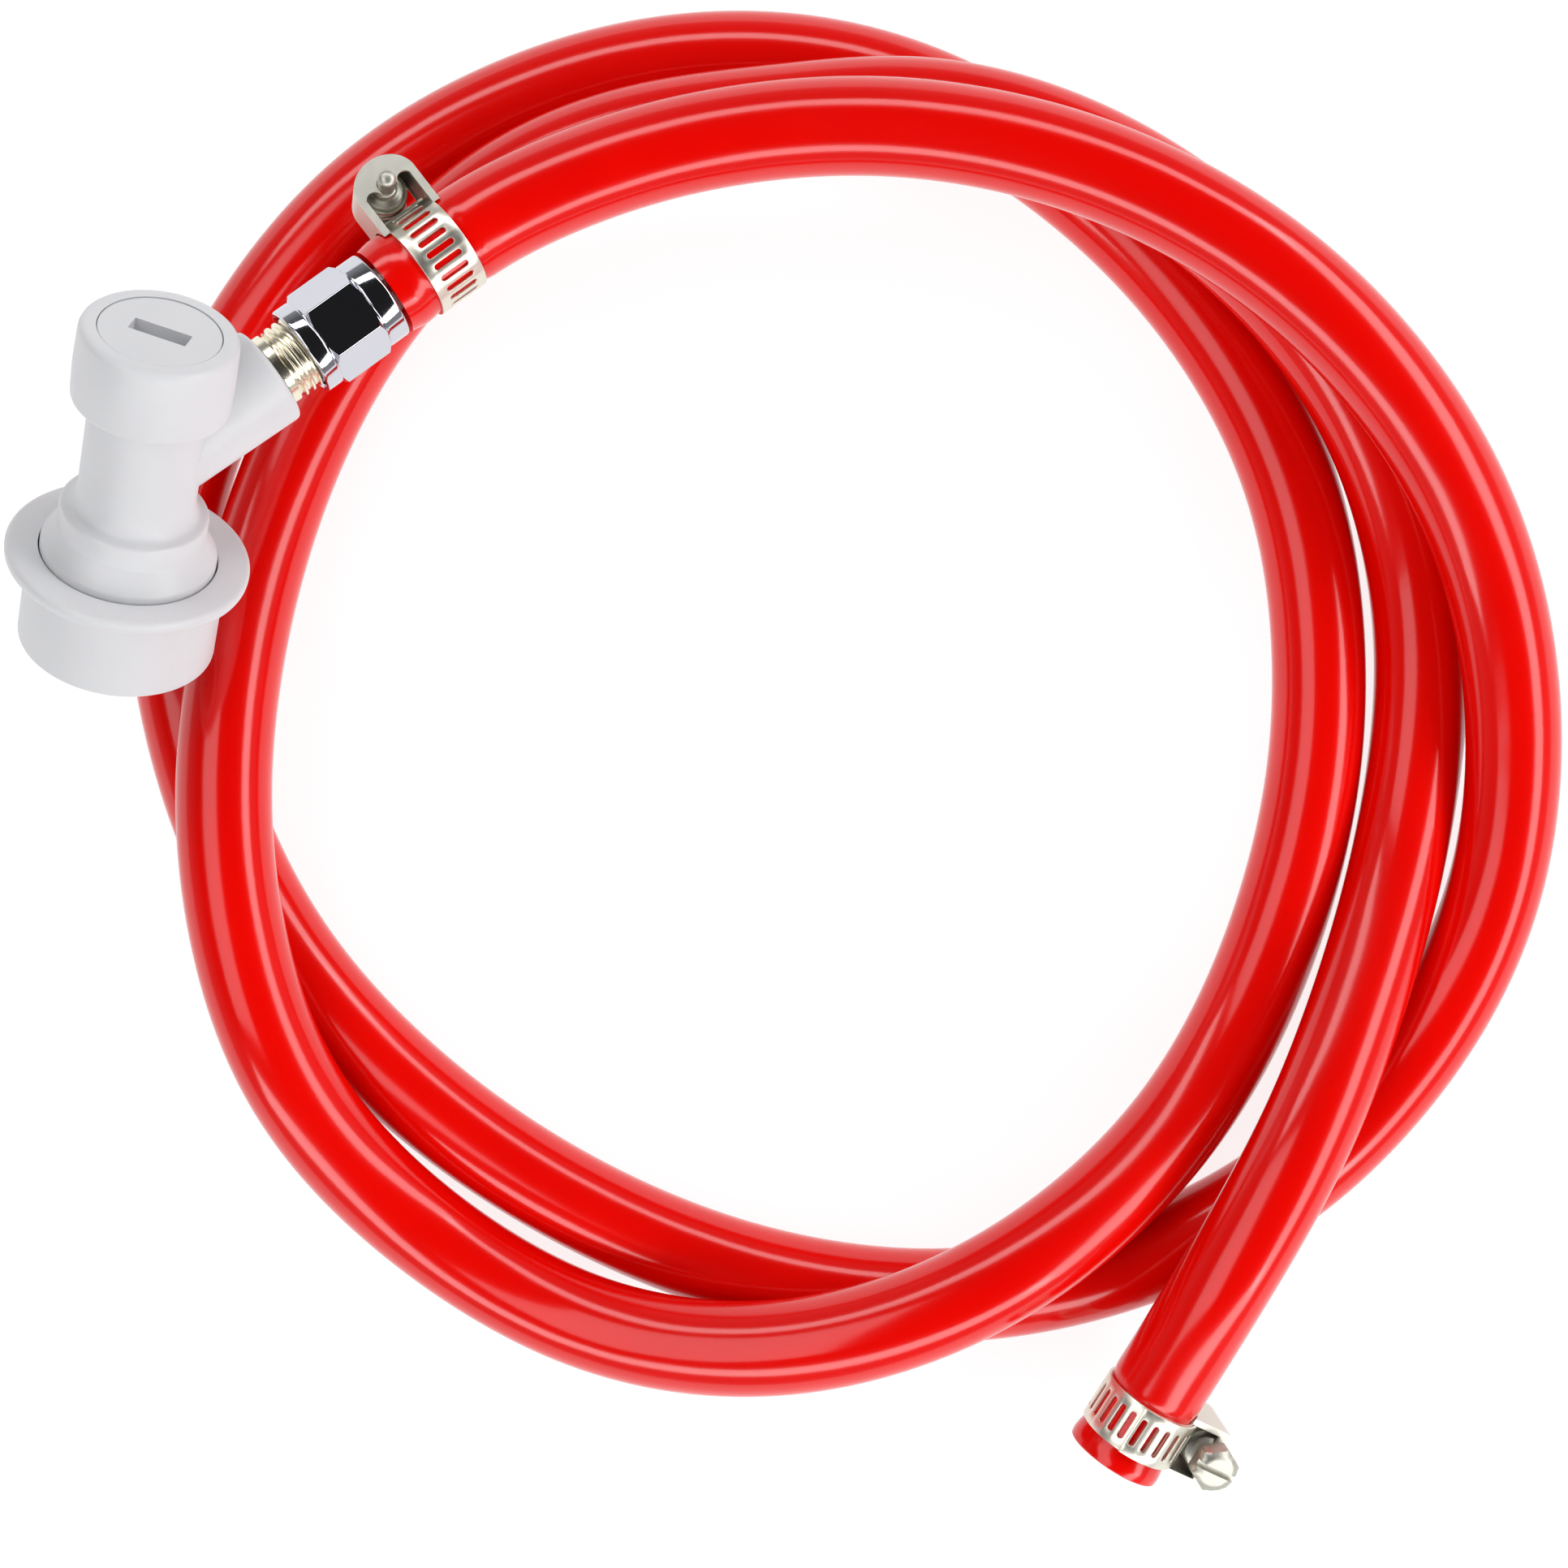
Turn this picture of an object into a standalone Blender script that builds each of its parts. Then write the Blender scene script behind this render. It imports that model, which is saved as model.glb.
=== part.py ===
"""Keg gas line, about 1.5 m of hose.

A ball-lock gas disconnect with a flared metal stub, a swivel nut on a barbed stem, a PVC
hose in a loose coil, and two worm-drive clamps. Metres, +Z up, the coil lying on z = 0.
"""
import math

import bmesh
import bpy
import numpy as np
from mathutils import Matrix, Vector

MM = 0.001
SMOOTH_ANGLE = math.radians(35)
OVERRUN = 1.0 * MM  # how far a cutting shape runs past the face it cuts
HALF_SIDE = math.radians(30)  # half of the angle that one side of a hexagon takes up

# ---- Fineness: flats round each turned piece, and steps of curves ------------------------
SIDES = {
    "body": 40, "cavity": 32, "arm": 32, "arm_bore": 24, "ball_hole": 12, "collar": 44,
    "cap": 36, "o_ring": 28, "pin": 20, "stub": 28, "washer": 24, "stem": 20, "nut": 36,
    "nut_bore": 28, "tail_hole": 16, "wire": 6, "ball": 12, "hose": 12, "screw": 12,
}
CORNER_STEPS = 4
O_RING_STEPS = 8
BALL_ROWS = 8
RING_STEPS = 32
COLLAR_SPRING_STEPS = 16  # in one turn
PIN_SPRING_STEPS = 10  # in one turn
DOME_STEPS = 13
WORM_ROWS = 17
SPAN_STEPS = 64  # fine points of the hose's line between two points of its route
HOSE_RINGS = 88

# ---- Where things are -----------------------------------------------------------------
COIL_CENTRE = Vector((20.3, 8.3, 0.0)) * MM  # middle of the coil, from the part's origin
ARM_POINT = COIL_CENTRE + Vector((-90.6, 44.7, 49.0)) * MM  # where the arm meets the body
BODY_AXIS = Vector((0.2255, 0.7643, 0.6041)).normalized()  # socket to cap
ARM_AXIS = Vector((0.778, 0.599, -0.189)).normalized()  # body to hose
NUT_FLAT = Vector((0.33, 0.06, 0.94))  # the way the nut's middle flat looks
ARM_HEIGHT = 30.4 * MM  # along the body, above the collar's lower rim

# ---- Disconnect body, heights from the collar's lower rim -------------------------------
SLEEVE_BOTTOM = 1.0 * MM
SLEEVE_RADIUS = 10.4 * MM
SOCKET_RADIUS = 8.8 * MM
SOCKET_TOP = 15.4 * MM
WEB_TOP = 17.8 * MM
PIN_HOLE_RADIUS = 2.3 * MM
GROOVE_RADIUS = 9.9 * MM
GROOVE_BOTTOM = 1.6 * MM
GROOVE_TOP = 2.8 * MM
SHOULDER_RADIUS = 12.6 * MM
SHOULDER_BOTTOM = 14.6 * MM
SHOULDER_TOP = 17.0 * MM
FOOT_RADIUS = 10.6 * MM
FOOT_BOTTOM = 19.8 * MM
FOOT_TOP = 23.5 * MM
WAIST_RADIUS = 8.4 * MM
WAIST_BOTTOM = 25.6 * MM
FILLET_RADIUS = 2.0 * MM
FILLET_START = 255  # degrees, where the waist's fillet leaves the foot
HEAD_RADIUS = 11.2 * MM
HEAD_BOTTOM = 41.7 * MM
HEAD_TOP = 53.1 * MM
HEAD_ROUND = 0.9 * MM
CHAMBER_RADIUS = 5.0 * MM
CAP_BORE_RADIUS = 8.7 * MM
CAP_LEDGE = 45.9 * MM
ARM_ROOT_RADIUS = 6.8 * MM
ARM_END_RADIUS = 7.4 * MM
ARM_LENGTH = 22.7 * MM
ARM_PASSAGE_RADIUS = 2.4 * MM
INSERT_SEAT_RADIUS = 5.5 * MM
INSERT_SEAT_START = 12.0 * MM
BALL_HEIGHT = 5.0 * MM
BALL_HOLE_RADIUS = 1.8 * MM
BALL_RADIUS = 1.5 * MM
BALL_RING_RADIUS = 9.5 * MM
BALL_COUNT = 3
EDGE = 0.4 * MM

# ---- Release collar ---------------------------------------------------------------------
SKIRT_RADIUS = 14.2 * MM
FLANGE_RADIUS = 17.5 * MM
FLANGE_BOTTOM = 13.5 * MM
FLANGE_TOP = 15.6 * MM
FLANGE_ROUND = 0.9 * MM
COLLAR_BORE_RADIUS = 13.1 * MM
LAND_RADIUS = 11.3 * MM
LAND_TOP = 7.0 * MM
LAND_BOTTOM = 4.3 * MM
RELIEF_RADIUS = 12.3 * MM
RELIEF_TOP = 1.5 * MM
COLLAR_WIRE = 0.8 * MM
COLLAR_SPRING_RADIUS = 11.9 * MM
COLLAR_SPRING_BOTTOM = 7.3 * MM
COLLAR_SPRING_TOP = 14.3 * MM
COLLAR_SPRING_TURNS = 3
RING_RADIUS = 10.95 * MM
RING_WIDTH = 1.5 * MM
RING_THICK = 0.6 * MM
RING_HEIGHT = 2.2 * MM
RING_OPENING = math.radians(24)

# ---- Cap, seals and valve pin -----------------------------------------------------------
CAP_RADIUS = 8.4 * MM
CAP_BOTTOM = 48.4 * MM
CAP_TOP = 53.0 * MM
SLOT_LENGTH = 8.6 * MM
SLOT_WIDTH = 2.2 * MM
SLOT_DEPTH = 2.6 * MM
SLOT_TURN = math.radians(38.7)  # the slot's way round in the cap
O_RING_RADIUS = 7.1 * MM
O_RING_WIRE = 0.95 * MM
O_RING_HEIGHT = 47.15 * MM
PIN_TIP = 9.5 * MM
PIN_RADIUS = 1.6 * MM
PIN_HEAD_RADIUS = 4.0 * MM
PIN_HEAD_BOTTOM = 20.0 * MM
PIN_HEAD_TOP = 22.0 * MM
PIN_GUIDE_RADIUS = 1.9 * MM
PIN_GUIDE_TOP = 27.5 * MM
GASKET_INNER = 1.95 * MM
GASKET_OUTER = 4.2 * MM
GASKET_BOTTOM = 18.1 * MM
GASKET_TOP = 19.7 * MM
PIN_WIRE = 0.7 * MM
PIN_SPRING_RADIUS = 3.3 * MM
PIN_SPRING_BOTTOM = 22.3 * MM
PIN_SPRING_TOP = 48.1 * MM
PIN_SPRING_TURNS = 8

# ---- Flare joint and nut, distances along the arm from ARM_POINT ------------------------
STUB_BORE = 2.2 * MM
STUB_ROOT = 12.3 * MM
STUB_RADIUS = 5.2 * MM
STUB_NECK_RADIUS = 4.9 * MM
THREAD_START = 24.8 * MM
THREAD_END = 33.4 * MM
THREAD_RADIUS = 5.5 * MM
NOSE_RADIUS = 3.0 * MM  # of the flare's flat end
CONE_SUM = 38.8 * MM  # distance plus radius anywhere on the stub's 45 degree flare
WASHER_OFFSET = 0.4 * MM
WASHER_THICK = 0.8 * MM
WASHER_INNER = 2.9 * MM
WASHER_OUTER = 4.7 * MM
STEM_START = 35.2 * MM
STEM_HEAD_RADIUS = 5.5 * MM
STEM_HEAD_END = 39.2 * MM
STEM_NECK_RADIUS = 3.6 * MM
BARB_START = 44.0 * MM
BARB_PITCH = 4.5 * MM
BARB_COUNT = 4
BARB_RADIUS = 3.6 * MM
BARB_VALLEY = 3.1 * MM
NUT_START = 27.9 * MM
NUT_END = 42.4 * MM
NUT_WALL_START = 39.5 * MM
NUT_THREAD_RADIUS = 5.85 * MM
NUT_HOLE_RADIUS = 4.1 * MM
NUT_COLLAR_RADIUS = 6.8 * MM
NUT_FLATS = 13.0 * MM
HEX_START = 30.2 * MM
HEX_END = 39.4 * MM
HEX_CHAMFER = 0.6 * MM

# ---- Hose -------------------------------------------------------------------------------
HOSE_DIAMETER = 14.29 * MM  # 9/16 inch
HOSE_BORE = 7.94 * MM  # 5/16 inch
HOSE_START = 42.9 * MM  # along the arm
TABLE = 5.72  # height of the hose's centre where it lies on the table, in mm
SQUEEZE = 0.55 * MM  # how far a clamp presses the wall in
SQUEEZE_RAMP = 2.4 * MM
APART = 3  # diameters along the hose beyond which two places count as two stretches
START_SPACING = 10.0  # mm between the first three points, which lie along the arm
# Points on the hose's middle after that, in mm from the middle of the coil.
ROUTE = [
    (-26.0, 89.5, 36.0), (-8.0, 94.5, 34.0), (14.5, 96.0, 35.5), (38.0, 92.0, 36.5),
    (59.0, 83.5, 36.0), (79.0, 70.0, 33.4), (96.0, 51.0, 27.2), (106.5, 30.5, 19.5),
    (110.5, 8.0, 15.0), (109.5, -14.5, 9.0), (101.0, -36.0, TABLE), (83.5, -57.0, TABLE),
    (63.0, -70.0, TABLE), (39.5, -77.5, TABLE), (16.0, -79.0, TABLE), (-10.0, -74.0, TABLE),
    (-35.5, -62.5, TABLE), (-57.5, -47.0, TABLE), (-76.0, -27.5, TABLE), (-87.5, -5.0, TABLE),
    (-93.5, 20.0, TABLE), (-94.0, 43.0, TABLE), (-84.5, 66.0, TABLE), (-67.5, 89.0, TABLE),
    (-45.5, 103.0, TABLE), (-21.0, 111.0, TABLE), (4.5, 111.5, TABLE), (28.0, 104.0, TABLE),
    (50.5, 88.0, TABLE), (67.5, 68.5, TABLE), (79.0, 45.5, TABLE), (82.5, 20.5, TABLE),
    (81.0, -4.0, TABLE), (73.0, -30.5, 6.0), (60.0, -53.0, 10.0), (39.5, -70.0, 20.5),
    (17.5, -81.0, 22.0), (-6.5, -86.0, 17.5), (-33.0, -82.5, 9.0), (-59.0, -65.5, 8.5),
    (-74.5, -46.0, 18.0), (-81.5, -24.5, 21.0), (-84.0, -3.0, 21.0), (-82.5, 19.0, 17.5),
    (-77.5, 43.5, 9.5), (-65.5, 69.0, 9.5), (-46.0, 88.5, 17.0), (-24.0, 98.0, 18.5),
    (-0.5, 100.0, 20.0), (20.0, 102.0, 21.0), (40.5, 97.0, 21.5), (60.0, 86.5, 21.0),
    (78.5, 70.0, 18.0), (91.5, 50.0, 12.8), (97.5, 27.5, 6.5), (97.5, 8.0, TABLE),
    (92.8, -16.1, 8.8), (83.5, -40.5, 17.5), (75.0, -57.5, 22.0), (64.5, -75.5, 20.9),
    (56.7, -90.4, 13.9), (49.6, -101.8, 12.1),
]

# ---- Worm-drive clamps ------------------------------------------------------------------
NEAR_CLAMP_AT = 8.9 * MM  # band's middle, along the hose from its start
FAR_CLAMP_AT = 7.6 * MM  # band's middle, along the hose from its end
NEAR_HOUSING_SIDE = Vector((-0.64, 0.77, 0.0))
FAR_HOUSING_SIDE = Vector((0.85, -0.49, -0.37))
BAND_INNER = 6.9 * MM
BAND_OUTER = 7.5 * MM
BAND_WIDTH = 7.8 * MM
BAND_COLUMNS = 48
BAND_SLOT_LENGTH = 4.7 * MM
BAND_PLAIN = math.radians(20)  # half of the arc under the housing, which has no slots
SCREW_OFFSET = 11.4 * MM  # screw's axis from the hose's
SHEET = 0.7 * MM
HOUSING_RADIUS = 4.9 * MM
HOUSING_FOOT = 7.6 * MM  # the housing's lower edge, from the hose's axis
HOUSING_BACK = 4.5 * MM
HOUSING_FRONT = 4.9 * MM
TAIL_HOLE_RADIUS = 2.0 * MM
MOUTH_EDGE = 0.8 * MM  # left standing at each side of the strap's mouth
SCREW_HEAD_END = 8.6 * MM
SCREW_HEAD_START = 5.3 * MM
SCREW_HEAD_FLATS = 6.5 * MM
SCREW_FACE_RADIUS = 2.6 * MM
SCREW_SLOT_WIDTH = 0.9 * MM
SCREW_SLOT_DEPTH = 1.2 * MM
SCREW_NECK_RADIUS = 2.0 * MM
WORM_RADIUS = 3.1 * MM
WORM_DEPTH = 0.6 * MM
WORM_PITCH = 1.9 * MM
WORM_HALF = 3.8 * MM
TAIL_RADIUS = 1.5 * MM
TAIL_END = 8.5 * MM
TAIL_ROUND = 0.6 * MM

# ---- Finishes: colour, roughness, metallic ----------------------------------------------
FINISHES = {
    "grey_plastic": ((0.63, 0.64, 0.66), 0.35, 0.0),
    "nickel": ((0.72, 0.66, 0.52), 0.25, 1.0),
    "chrome": ((0.75, 0.76, 0.78), 0.08, 1.0),
    "stainless": ((0.66, 0.65, 0.61), 0.28, 1.0),
    "red_pvc": ((0.76, 0.01, 0.01), 0.15, 0.0),
    "black_rubber": ((0.03, 0.03, 0.03), 0.6, 0.0),
    "white_nylon": ((0.8, 0.79, 0.74), 0.5, 0.0),
}


# ---- Tools ------------------------------------------------------------------------------
def clear_objects():
    """Empty the scene."""
    for old in list(bpy.data.objects):
        bpy.data.objects.remove(old, do_unlink=True)


def finish(name):
    """The material of that name, made on first use."""
    made = bpy.data.materials.get(name)
    if made:
        return made
    colour, roughness, metallic = FINISHES[name]
    made = bpy.data.materials.new(name)
    made.use_nodes = True
    shader = made.node_tree.nodes["Principled BSDF"]
    shader.inputs["Base Color"].default_value = (*colour, 1.0)
    shader.inputs["Roughness"].default_value = roughness
    shader.inputs["Metallic"].default_value = metallic
    return made


def frame(origin, z_axis, x_hint):
    """Matrix of a frame at origin, its Z along z_axis and its X towards x_hint."""
    z_axis = z_axis.normalized()
    x_axis = (x_hint - x_hint.dot(z_axis) * z_axis).normalized()
    y_axis = z_axis.cross(x_axis)
    turn = Matrix((x_axis, y_axis, z_axis)).transposed().to_4x4()
    return Matrix.Translation(origin) @ turn


def add_piece(name, shape, look, place):
    """Turn a bmesh into a named object at place, with its finish."""
    bmesh.ops.recalc_face_normals(shape, faces=shape.faces)
    mesh = bpy.data.meshes.new(name)
    shape.to_mesh(mesh)
    shape.free()
    mesh.shade_smooth()
    mesh.set_sharp_from_angle(angle=SMOOTH_ANGLE)
    piece = bpy.data.objects.new(name, mesh)
    piece.matrix_world = place
    mesh.materials.append(finish(look))
    bpy.context.scene.collection.objects.link(piece)
    return piece


def carve(piece, name, shape, place, operation="DIFFERENCE"):
    """Cut a hidden shape out of a piece, or join it on."""
    tool = add_piece(piece.name + "_" + name, shape, piece.data.materials[0].name, place)
    tool.hide_render = True
    tool.display_type = "WIRE"
    step = piece.modifiers.new(name, "BOOLEAN")
    step.operation = operation
    step.object = tool


def arc(centre_r, centre_z, radius, start, end, steps=CORNER_STEPS):
    """Points of a round corner, as (radius, height), between two angles in degrees."""
    angles = np.radians(np.linspace(start, end, steps))
    return [(centre_r + radius * math.cos(a), centre_z + radius * math.sin(a)) for a in angles]


def loft(rings, closed=False):
    """Skin rings of equally many points; the ends are filled unless closed joins them."""
    shape = bmesh.new()
    rows = [[shape.verts.new(p) for p in ring] for ring in rings]
    pairs = list(zip(rows, rows[1:])) + ([(rows[-1], rows[0])] if closed else [])
    for low, high in pairs:
        for i in range(len(low)):
            j = (i + 1) % len(low)
            shape.faces.new([low[i], low[j], high[j], high[i]])
    if not closed:
        shape.faces.new(rows[0])
        shape.faces.new(rows[-1])
    return shape


def turned(profile, sides, closed=True):
    """A turned shape about Z from (radius, height) points; closed is for a ring."""
    rings = []
    for radius, height in profile:
        angles = np.linspace(0, 2 * math.pi, sides, endpoint=False)
        rings.append([(radius * math.cos(a), radius * math.sin(a), height) for a in angles])
    return loft(rings, closed)


def rod(radius, start, end, sides):
    """A plain round bar along Z."""
    return turned([(radius, start), (radius, end)], sides, closed=False)


def block(low, high):
    """A box between two corners."""
    shape = bmesh.new()
    size = Vector(high) - Vector(low)
    place = Matrix.Translation((Vector(high) + Vector(low)) / 2) @ Matrix.Diagonal((*size, 1))
    bmesh.ops.create_cube(shape, size=1, matrix=place)
    return shape


def swept(path, section, scales=None):
    """Rings of a flat section carried along a path, its second axis kept upward."""
    path = np.array(path)
    along = np.gradient(path, axis=0)
    along /= np.linalg.norm(along, axis=1)[:, None]
    side = np.cross(along, (0, 0, 1))
    side /= np.linalg.norm(side, axis=1)[:, None]
    up = np.cross(side, along)
    scales = np.ones(len(path)) if scales is None else scales
    return [
        [tuple(p + k * (x * s + y * n)) for x, y in section]
        for p, s, n, k in zip(path, side, up, scales)
    ]


def circle(radius, sides, first=-90.0):
    """Points of a round section, the first one straight down."""
    angles = np.radians(first + np.arange(sides) * 360 / sides)
    return [(radius * math.cos(a), radius * math.sin(a)) for a in angles]


def helix(radius, bottom, top, turns, per_turn):
    """Middle line of a compression spring about Z."""
    count = turns * per_turn + 1
    angles = np.linspace(0, 2 * math.pi * turns, count)
    heights = np.linspace(bottom, top, count)
    return [(radius * math.cos(a), radius * math.sin(a), h) for a, h in zip(angles, heights)]


# ---- Disconnect -------------------------------------------------------------------------
def body_outline():
    """Outside of the moulded body, from the sleeve up to the head."""
    return [
        (SLEEVE_RADIUS, SLEEVE_BOTTOM),
        (SLEEVE_RADIUS, GROOVE_BOTTOM),
        (GROOVE_RADIUS, GROOVE_BOTTOM),
        (GROOVE_RADIUS, GROOVE_TOP),
        (SLEEVE_RADIUS, GROOVE_TOP),
        (SLEEVE_RADIUS, SHOULDER_BOTTOM),
        (SHOULDER_RADIUS, SHOULDER_BOTTOM),
        (SHOULDER_RADIUS, SHOULDER_TOP - EDGE),
        (SHOULDER_RADIUS - EDGE, SHOULDER_TOP),
        (FOOT_RADIUS + EDGE, FOOT_BOTTOM),
        (FOOT_RADIUS, FOOT_TOP - EDGE),
        (FOOT_RADIUS - EDGE, FOOT_TOP),
        *arc(WAIST_RADIUS + FILLET_RADIUS, WAIST_BOTTOM, FILLET_RADIUS, FILLET_START, 180),
        (WAIST_RADIUS, HEAD_BOTTOM),
        (HEAD_RADIUS - EDGE, HEAD_BOTTOM),
        (HEAD_RADIUS, HEAD_BOTTOM + EDGE),
        *arc(HEAD_RADIUS - HEAD_ROUND, HEAD_TOP - HEAD_ROUND, HEAD_ROUND, 0, 90),
    ]


def body_cavity():
    """Inside of the body: post socket, pin hole, spring chamber and cap bore."""
    return [
        (SOCKET_RADIUS, SLEEVE_BOTTOM - OVERRUN),
        (SOCKET_RADIUS, SOCKET_TOP),
        (PIN_HOLE_RADIUS, SOCKET_TOP),
        (PIN_HOLE_RADIUS, WEB_TOP),
        (CHAMBER_RADIUS, WEB_TOP),
        (CHAMBER_RADIUS, CAP_LEDGE),
        (CAP_BORE_RADIUS, CAP_LEDGE),
        (CAP_BORE_RADIUS, HEAD_TOP + OVERRUN),
    ]


def disconnect_body(upright, arm):
    """Moulded body with its side arm, hollow from the socket to the cap."""
    outside = turned(body_outline(), SIDES["body"], closed=False)
    piece = add_piece("disconnect_body", outside, "grey_plastic", upright)
    side_arm = [
        (ARM_ROOT_RADIUS, 0),
        *arc(ARM_END_RADIUS - HEAD_ROUND, ARM_LENGTH - HEAD_ROUND, HEAD_ROUND, 0, 90),
    ]
    carve(piece, "arm", turned(side_arm, SIDES["arm"], closed=False), arm, "UNION")
    carve(piece, "cavity", turned(body_cavity(), SIDES["cavity"], closed=False), upright)
    bore = [
        (ARM_PASSAGE_RADIUS, 0),
        (ARM_PASSAGE_RADIUS, INSERT_SEAT_START),
        (INSERT_SEAT_RADIUS, INSERT_SEAT_START),
        (INSERT_SEAT_RADIUS, ARM_LENGTH + OVERRUN),
    ]
    carve(piece, "arm_bore", turned(bore, SIDES["arm_bore"], closed=False), arm)
    for number, outward in enumerate(ball_directions(), 1):
        place = upright @ frame(Vector((0, 0, BALL_HEIGHT)), outward, Vector((0, 0, 1)))
        ends = (SOCKET_RADIUS - OVERRUN, SLEEVE_RADIUS + OVERRUN)
        hole = rod(BALL_HOLE_RADIUS, *ends, SIDES["ball_hole"])
        carve(piece, f"ball_hole_{number}", hole, place)


def ball_directions():
    """Outward directions of the locking balls, one opposite the arm."""
    turns = [math.pi + 2 * math.pi * k / BALL_COUNT for k in range(BALL_COUNT)]
    return [Vector((math.cos(t), math.sin(t), 0)) for t in turns]


def locking_balls(upright):
    """Balls that stand a little way into the socket."""
    for number, outward in enumerate(ball_directions(), 1):
        shape = bmesh.new()
        bmesh.ops.create_uvsphere(
            shape, u_segments=SIDES["ball"], v_segments=BALL_ROWS, radius=BALL_RADIUS
        )
        centre = outward * BALL_RING_RADIUS + Vector((0, 0, BALL_HEIGHT))
        place = upright @ Matrix.Translation(centre)
        add_piece(f"locking_ball_{number}", shape, "stainless", place)


def release_collar(upright):
    """Sleeve with a finger flange; its land holds the balls in."""
    outline = [
        (RELIEF_RADIUS, 0),
        (SKIRT_RADIUS - EDGE, 0),
        (SKIRT_RADIUS, EDGE),
        (SKIRT_RADIUS, FLANGE_BOTTOM),
        *arc(FLANGE_RADIUS - FLANGE_ROUND, FLANGE_BOTTOM + FLANGE_ROUND, FLANGE_ROUND, -90, 0),
        *arc(FLANGE_RADIUS - FLANGE_ROUND, FLANGE_TOP - FLANGE_ROUND, FLANGE_ROUND, 0, 90),
        (COLLAR_BORE_RADIUS, FLANGE_TOP),
        (COLLAR_BORE_RADIUS, LAND_TOP),
        (LAND_RADIUS, LAND_TOP),
        (LAND_RADIUS, LAND_BOTTOM),
        (RELIEF_RADIUS, RELIEF_TOP),
    ]
    add_piece("release_collar", turned(outline, SIDES["collar"]), "grey_plastic", upright)


def collar_spring(upright):
    """Spring between the collar's land and the body's shoulder."""
    half = COLLAR_WIRE / 2
    line = helix(
        COLLAR_SPRING_RADIUS, COLLAR_SPRING_BOTTOM + half, COLLAR_SPRING_TOP - half,
        COLLAR_SPRING_TURNS, COLLAR_SPRING_STEPS,
    )
    shape = loft(swept(line, circle(half, SIDES["wire"])))
    add_piece("collar_spring", shape, "stainless", upright)


def retaining_ring(upright):
    """Open snap ring in the sleeve's groove, under the collar's land."""
    angles = np.linspace(RING_OPENING / 2, 2 * math.pi - RING_OPENING / 2, RING_STEPS)
    line = [(RING_RADIUS * math.cos(a), RING_RADIUS * math.sin(a), RING_HEIGHT) for a in angles]
    half_width, half_thick = RING_WIDTH / 2, RING_THICK / 2
    section = [
        (-half_width, -half_thick), (half_width, -half_thick),
        (half_width, half_thick), (-half_width, half_thick),
    ]
    add_piece("retaining_ring", loft(swept(line, section)), "stainless", upright)


def top_cap(upright):
    """Screw cap, flush with the head, with a slot for a coin or a driver."""
    outline = [
        (CAP_RADIUS, CAP_BOTTOM),
        (CAP_RADIUS, CAP_TOP - EDGE / 2),
        (CAP_RADIUS - EDGE / 2, CAP_TOP),
    ]
    disc = turned(outline, SIDES["cap"], closed=False)
    piece = add_piece("top_cap", disc, "grey_plastic", upright)
    half_length, half_width = SLOT_LENGTH / 2, SLOT_WIDTH / 2
    slot = block(
        (-half_width, -half_length, CAP_TOP - SLOT_DEPTH),
        (half_width, half_length, CAP_TOP + OVERRUN),
    )
    carve(piece, "slot", slot, upright @ Matrix.Rotation(SLOT_TURN, 4, "Z"))


def cap_o_ring(upright):
    """Seal on the ledge under the cap."""
    section = arc(O_RING_RADIUS, O_RING_HEIGHT, O_RING_WIRE, 0, 315, O_RING_STEPS)
    add_piece("cap_o_ring", turned(section, SIDES["o_ring"]), "black_rubber", upright)


def valve_pin(upright):
    """Poppet: tip in the socket, head above the web, guide in the spring."""
    outline = [
        (PIN_RADIUS - EDGE, PIN_TIP),
        (PIN_RADIUS, PIN_TIP + EDGE),
        (PIN_RADIUS, PIN_HEAD_BOTTOM),
        (PIN_HEAD_RADIUS, PIN_HEAD_BOTTOM),
        (PIN_HEAD_RADIUS, PIN_HEAD_TOP),
        (PIN_GUIDE_RADIUS, PIN_HEAD_TOP),
        (PIN_GUIDE_RADIUS, PIN_GUIDE_TOP - EDGE),
        (PIN_GUIDE_RADIUS - EDGE, PIN_GUIDE_TOP),
    ]
    add_piece("valve_pin", turned(outline, SIDES["pin"], closed=False), "grey_plastic", upright)
    gasket = [
        (GASKET_INNER, GASKET_BOTTOM),
        (GASKET_OUTER, GASKET_BOTTOM),
        (GASKET_OUTER, GASKET_TOP),
        (GASKET_INNER, GASKET_TOP),
    ]
    add_piece("pin_gasket", turned(gasket, SIDES["pin"]), "black_rubber", upright)


def pin_spring(upright):
    """Spring from the pin's head to the underside of the cap."""
    half = PIN_WIRE / 2
    line = helix(
        PIN_SPRING_RADIUS, PIN_SPRING_BOTTOM + half, PIN_SPRING_TOP - half,
        PIN_SPRING_TURNS, PIN_SPRING_STEPS,
    )
    add_piece("pin_spring", loft(swept(line, circle(half, SIDES["wire"]))), "stainless", upright)


# ---- Flare joint ------------------------------------------------------------------------
def flare_insert(arm):
    """Metal stub held in the arm, with a male thread and a 45 degree flare."""
    outline = [
        (STUB_BORE, STUB_ROOT),
        (STUB_RADIUS, STUB_ROOT),
        (STUB_RADIUS, ARM_LENGTH + EDGE),
        (STUB_NECK_RADIUS, ARM_LENGTH + 2 * EDGE),
        (STUB_NECK_RADIUS, THREAD_START - EDGE),
        (THREAD_RADIUS, THREAD_START),
        (THREAD_RADIUS, CONE_SUM - THREAD_RADIUS),
        (NOSE_RADIUS, CONE_SUM - NOSE_RADIUS),
        (STUB_BORE, CONE_SUM - NOSE_RADIUS),
    ]
    add_piece("flare_insert", turned(outline, SIDES["stub"]), "nickel", arm)


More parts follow.
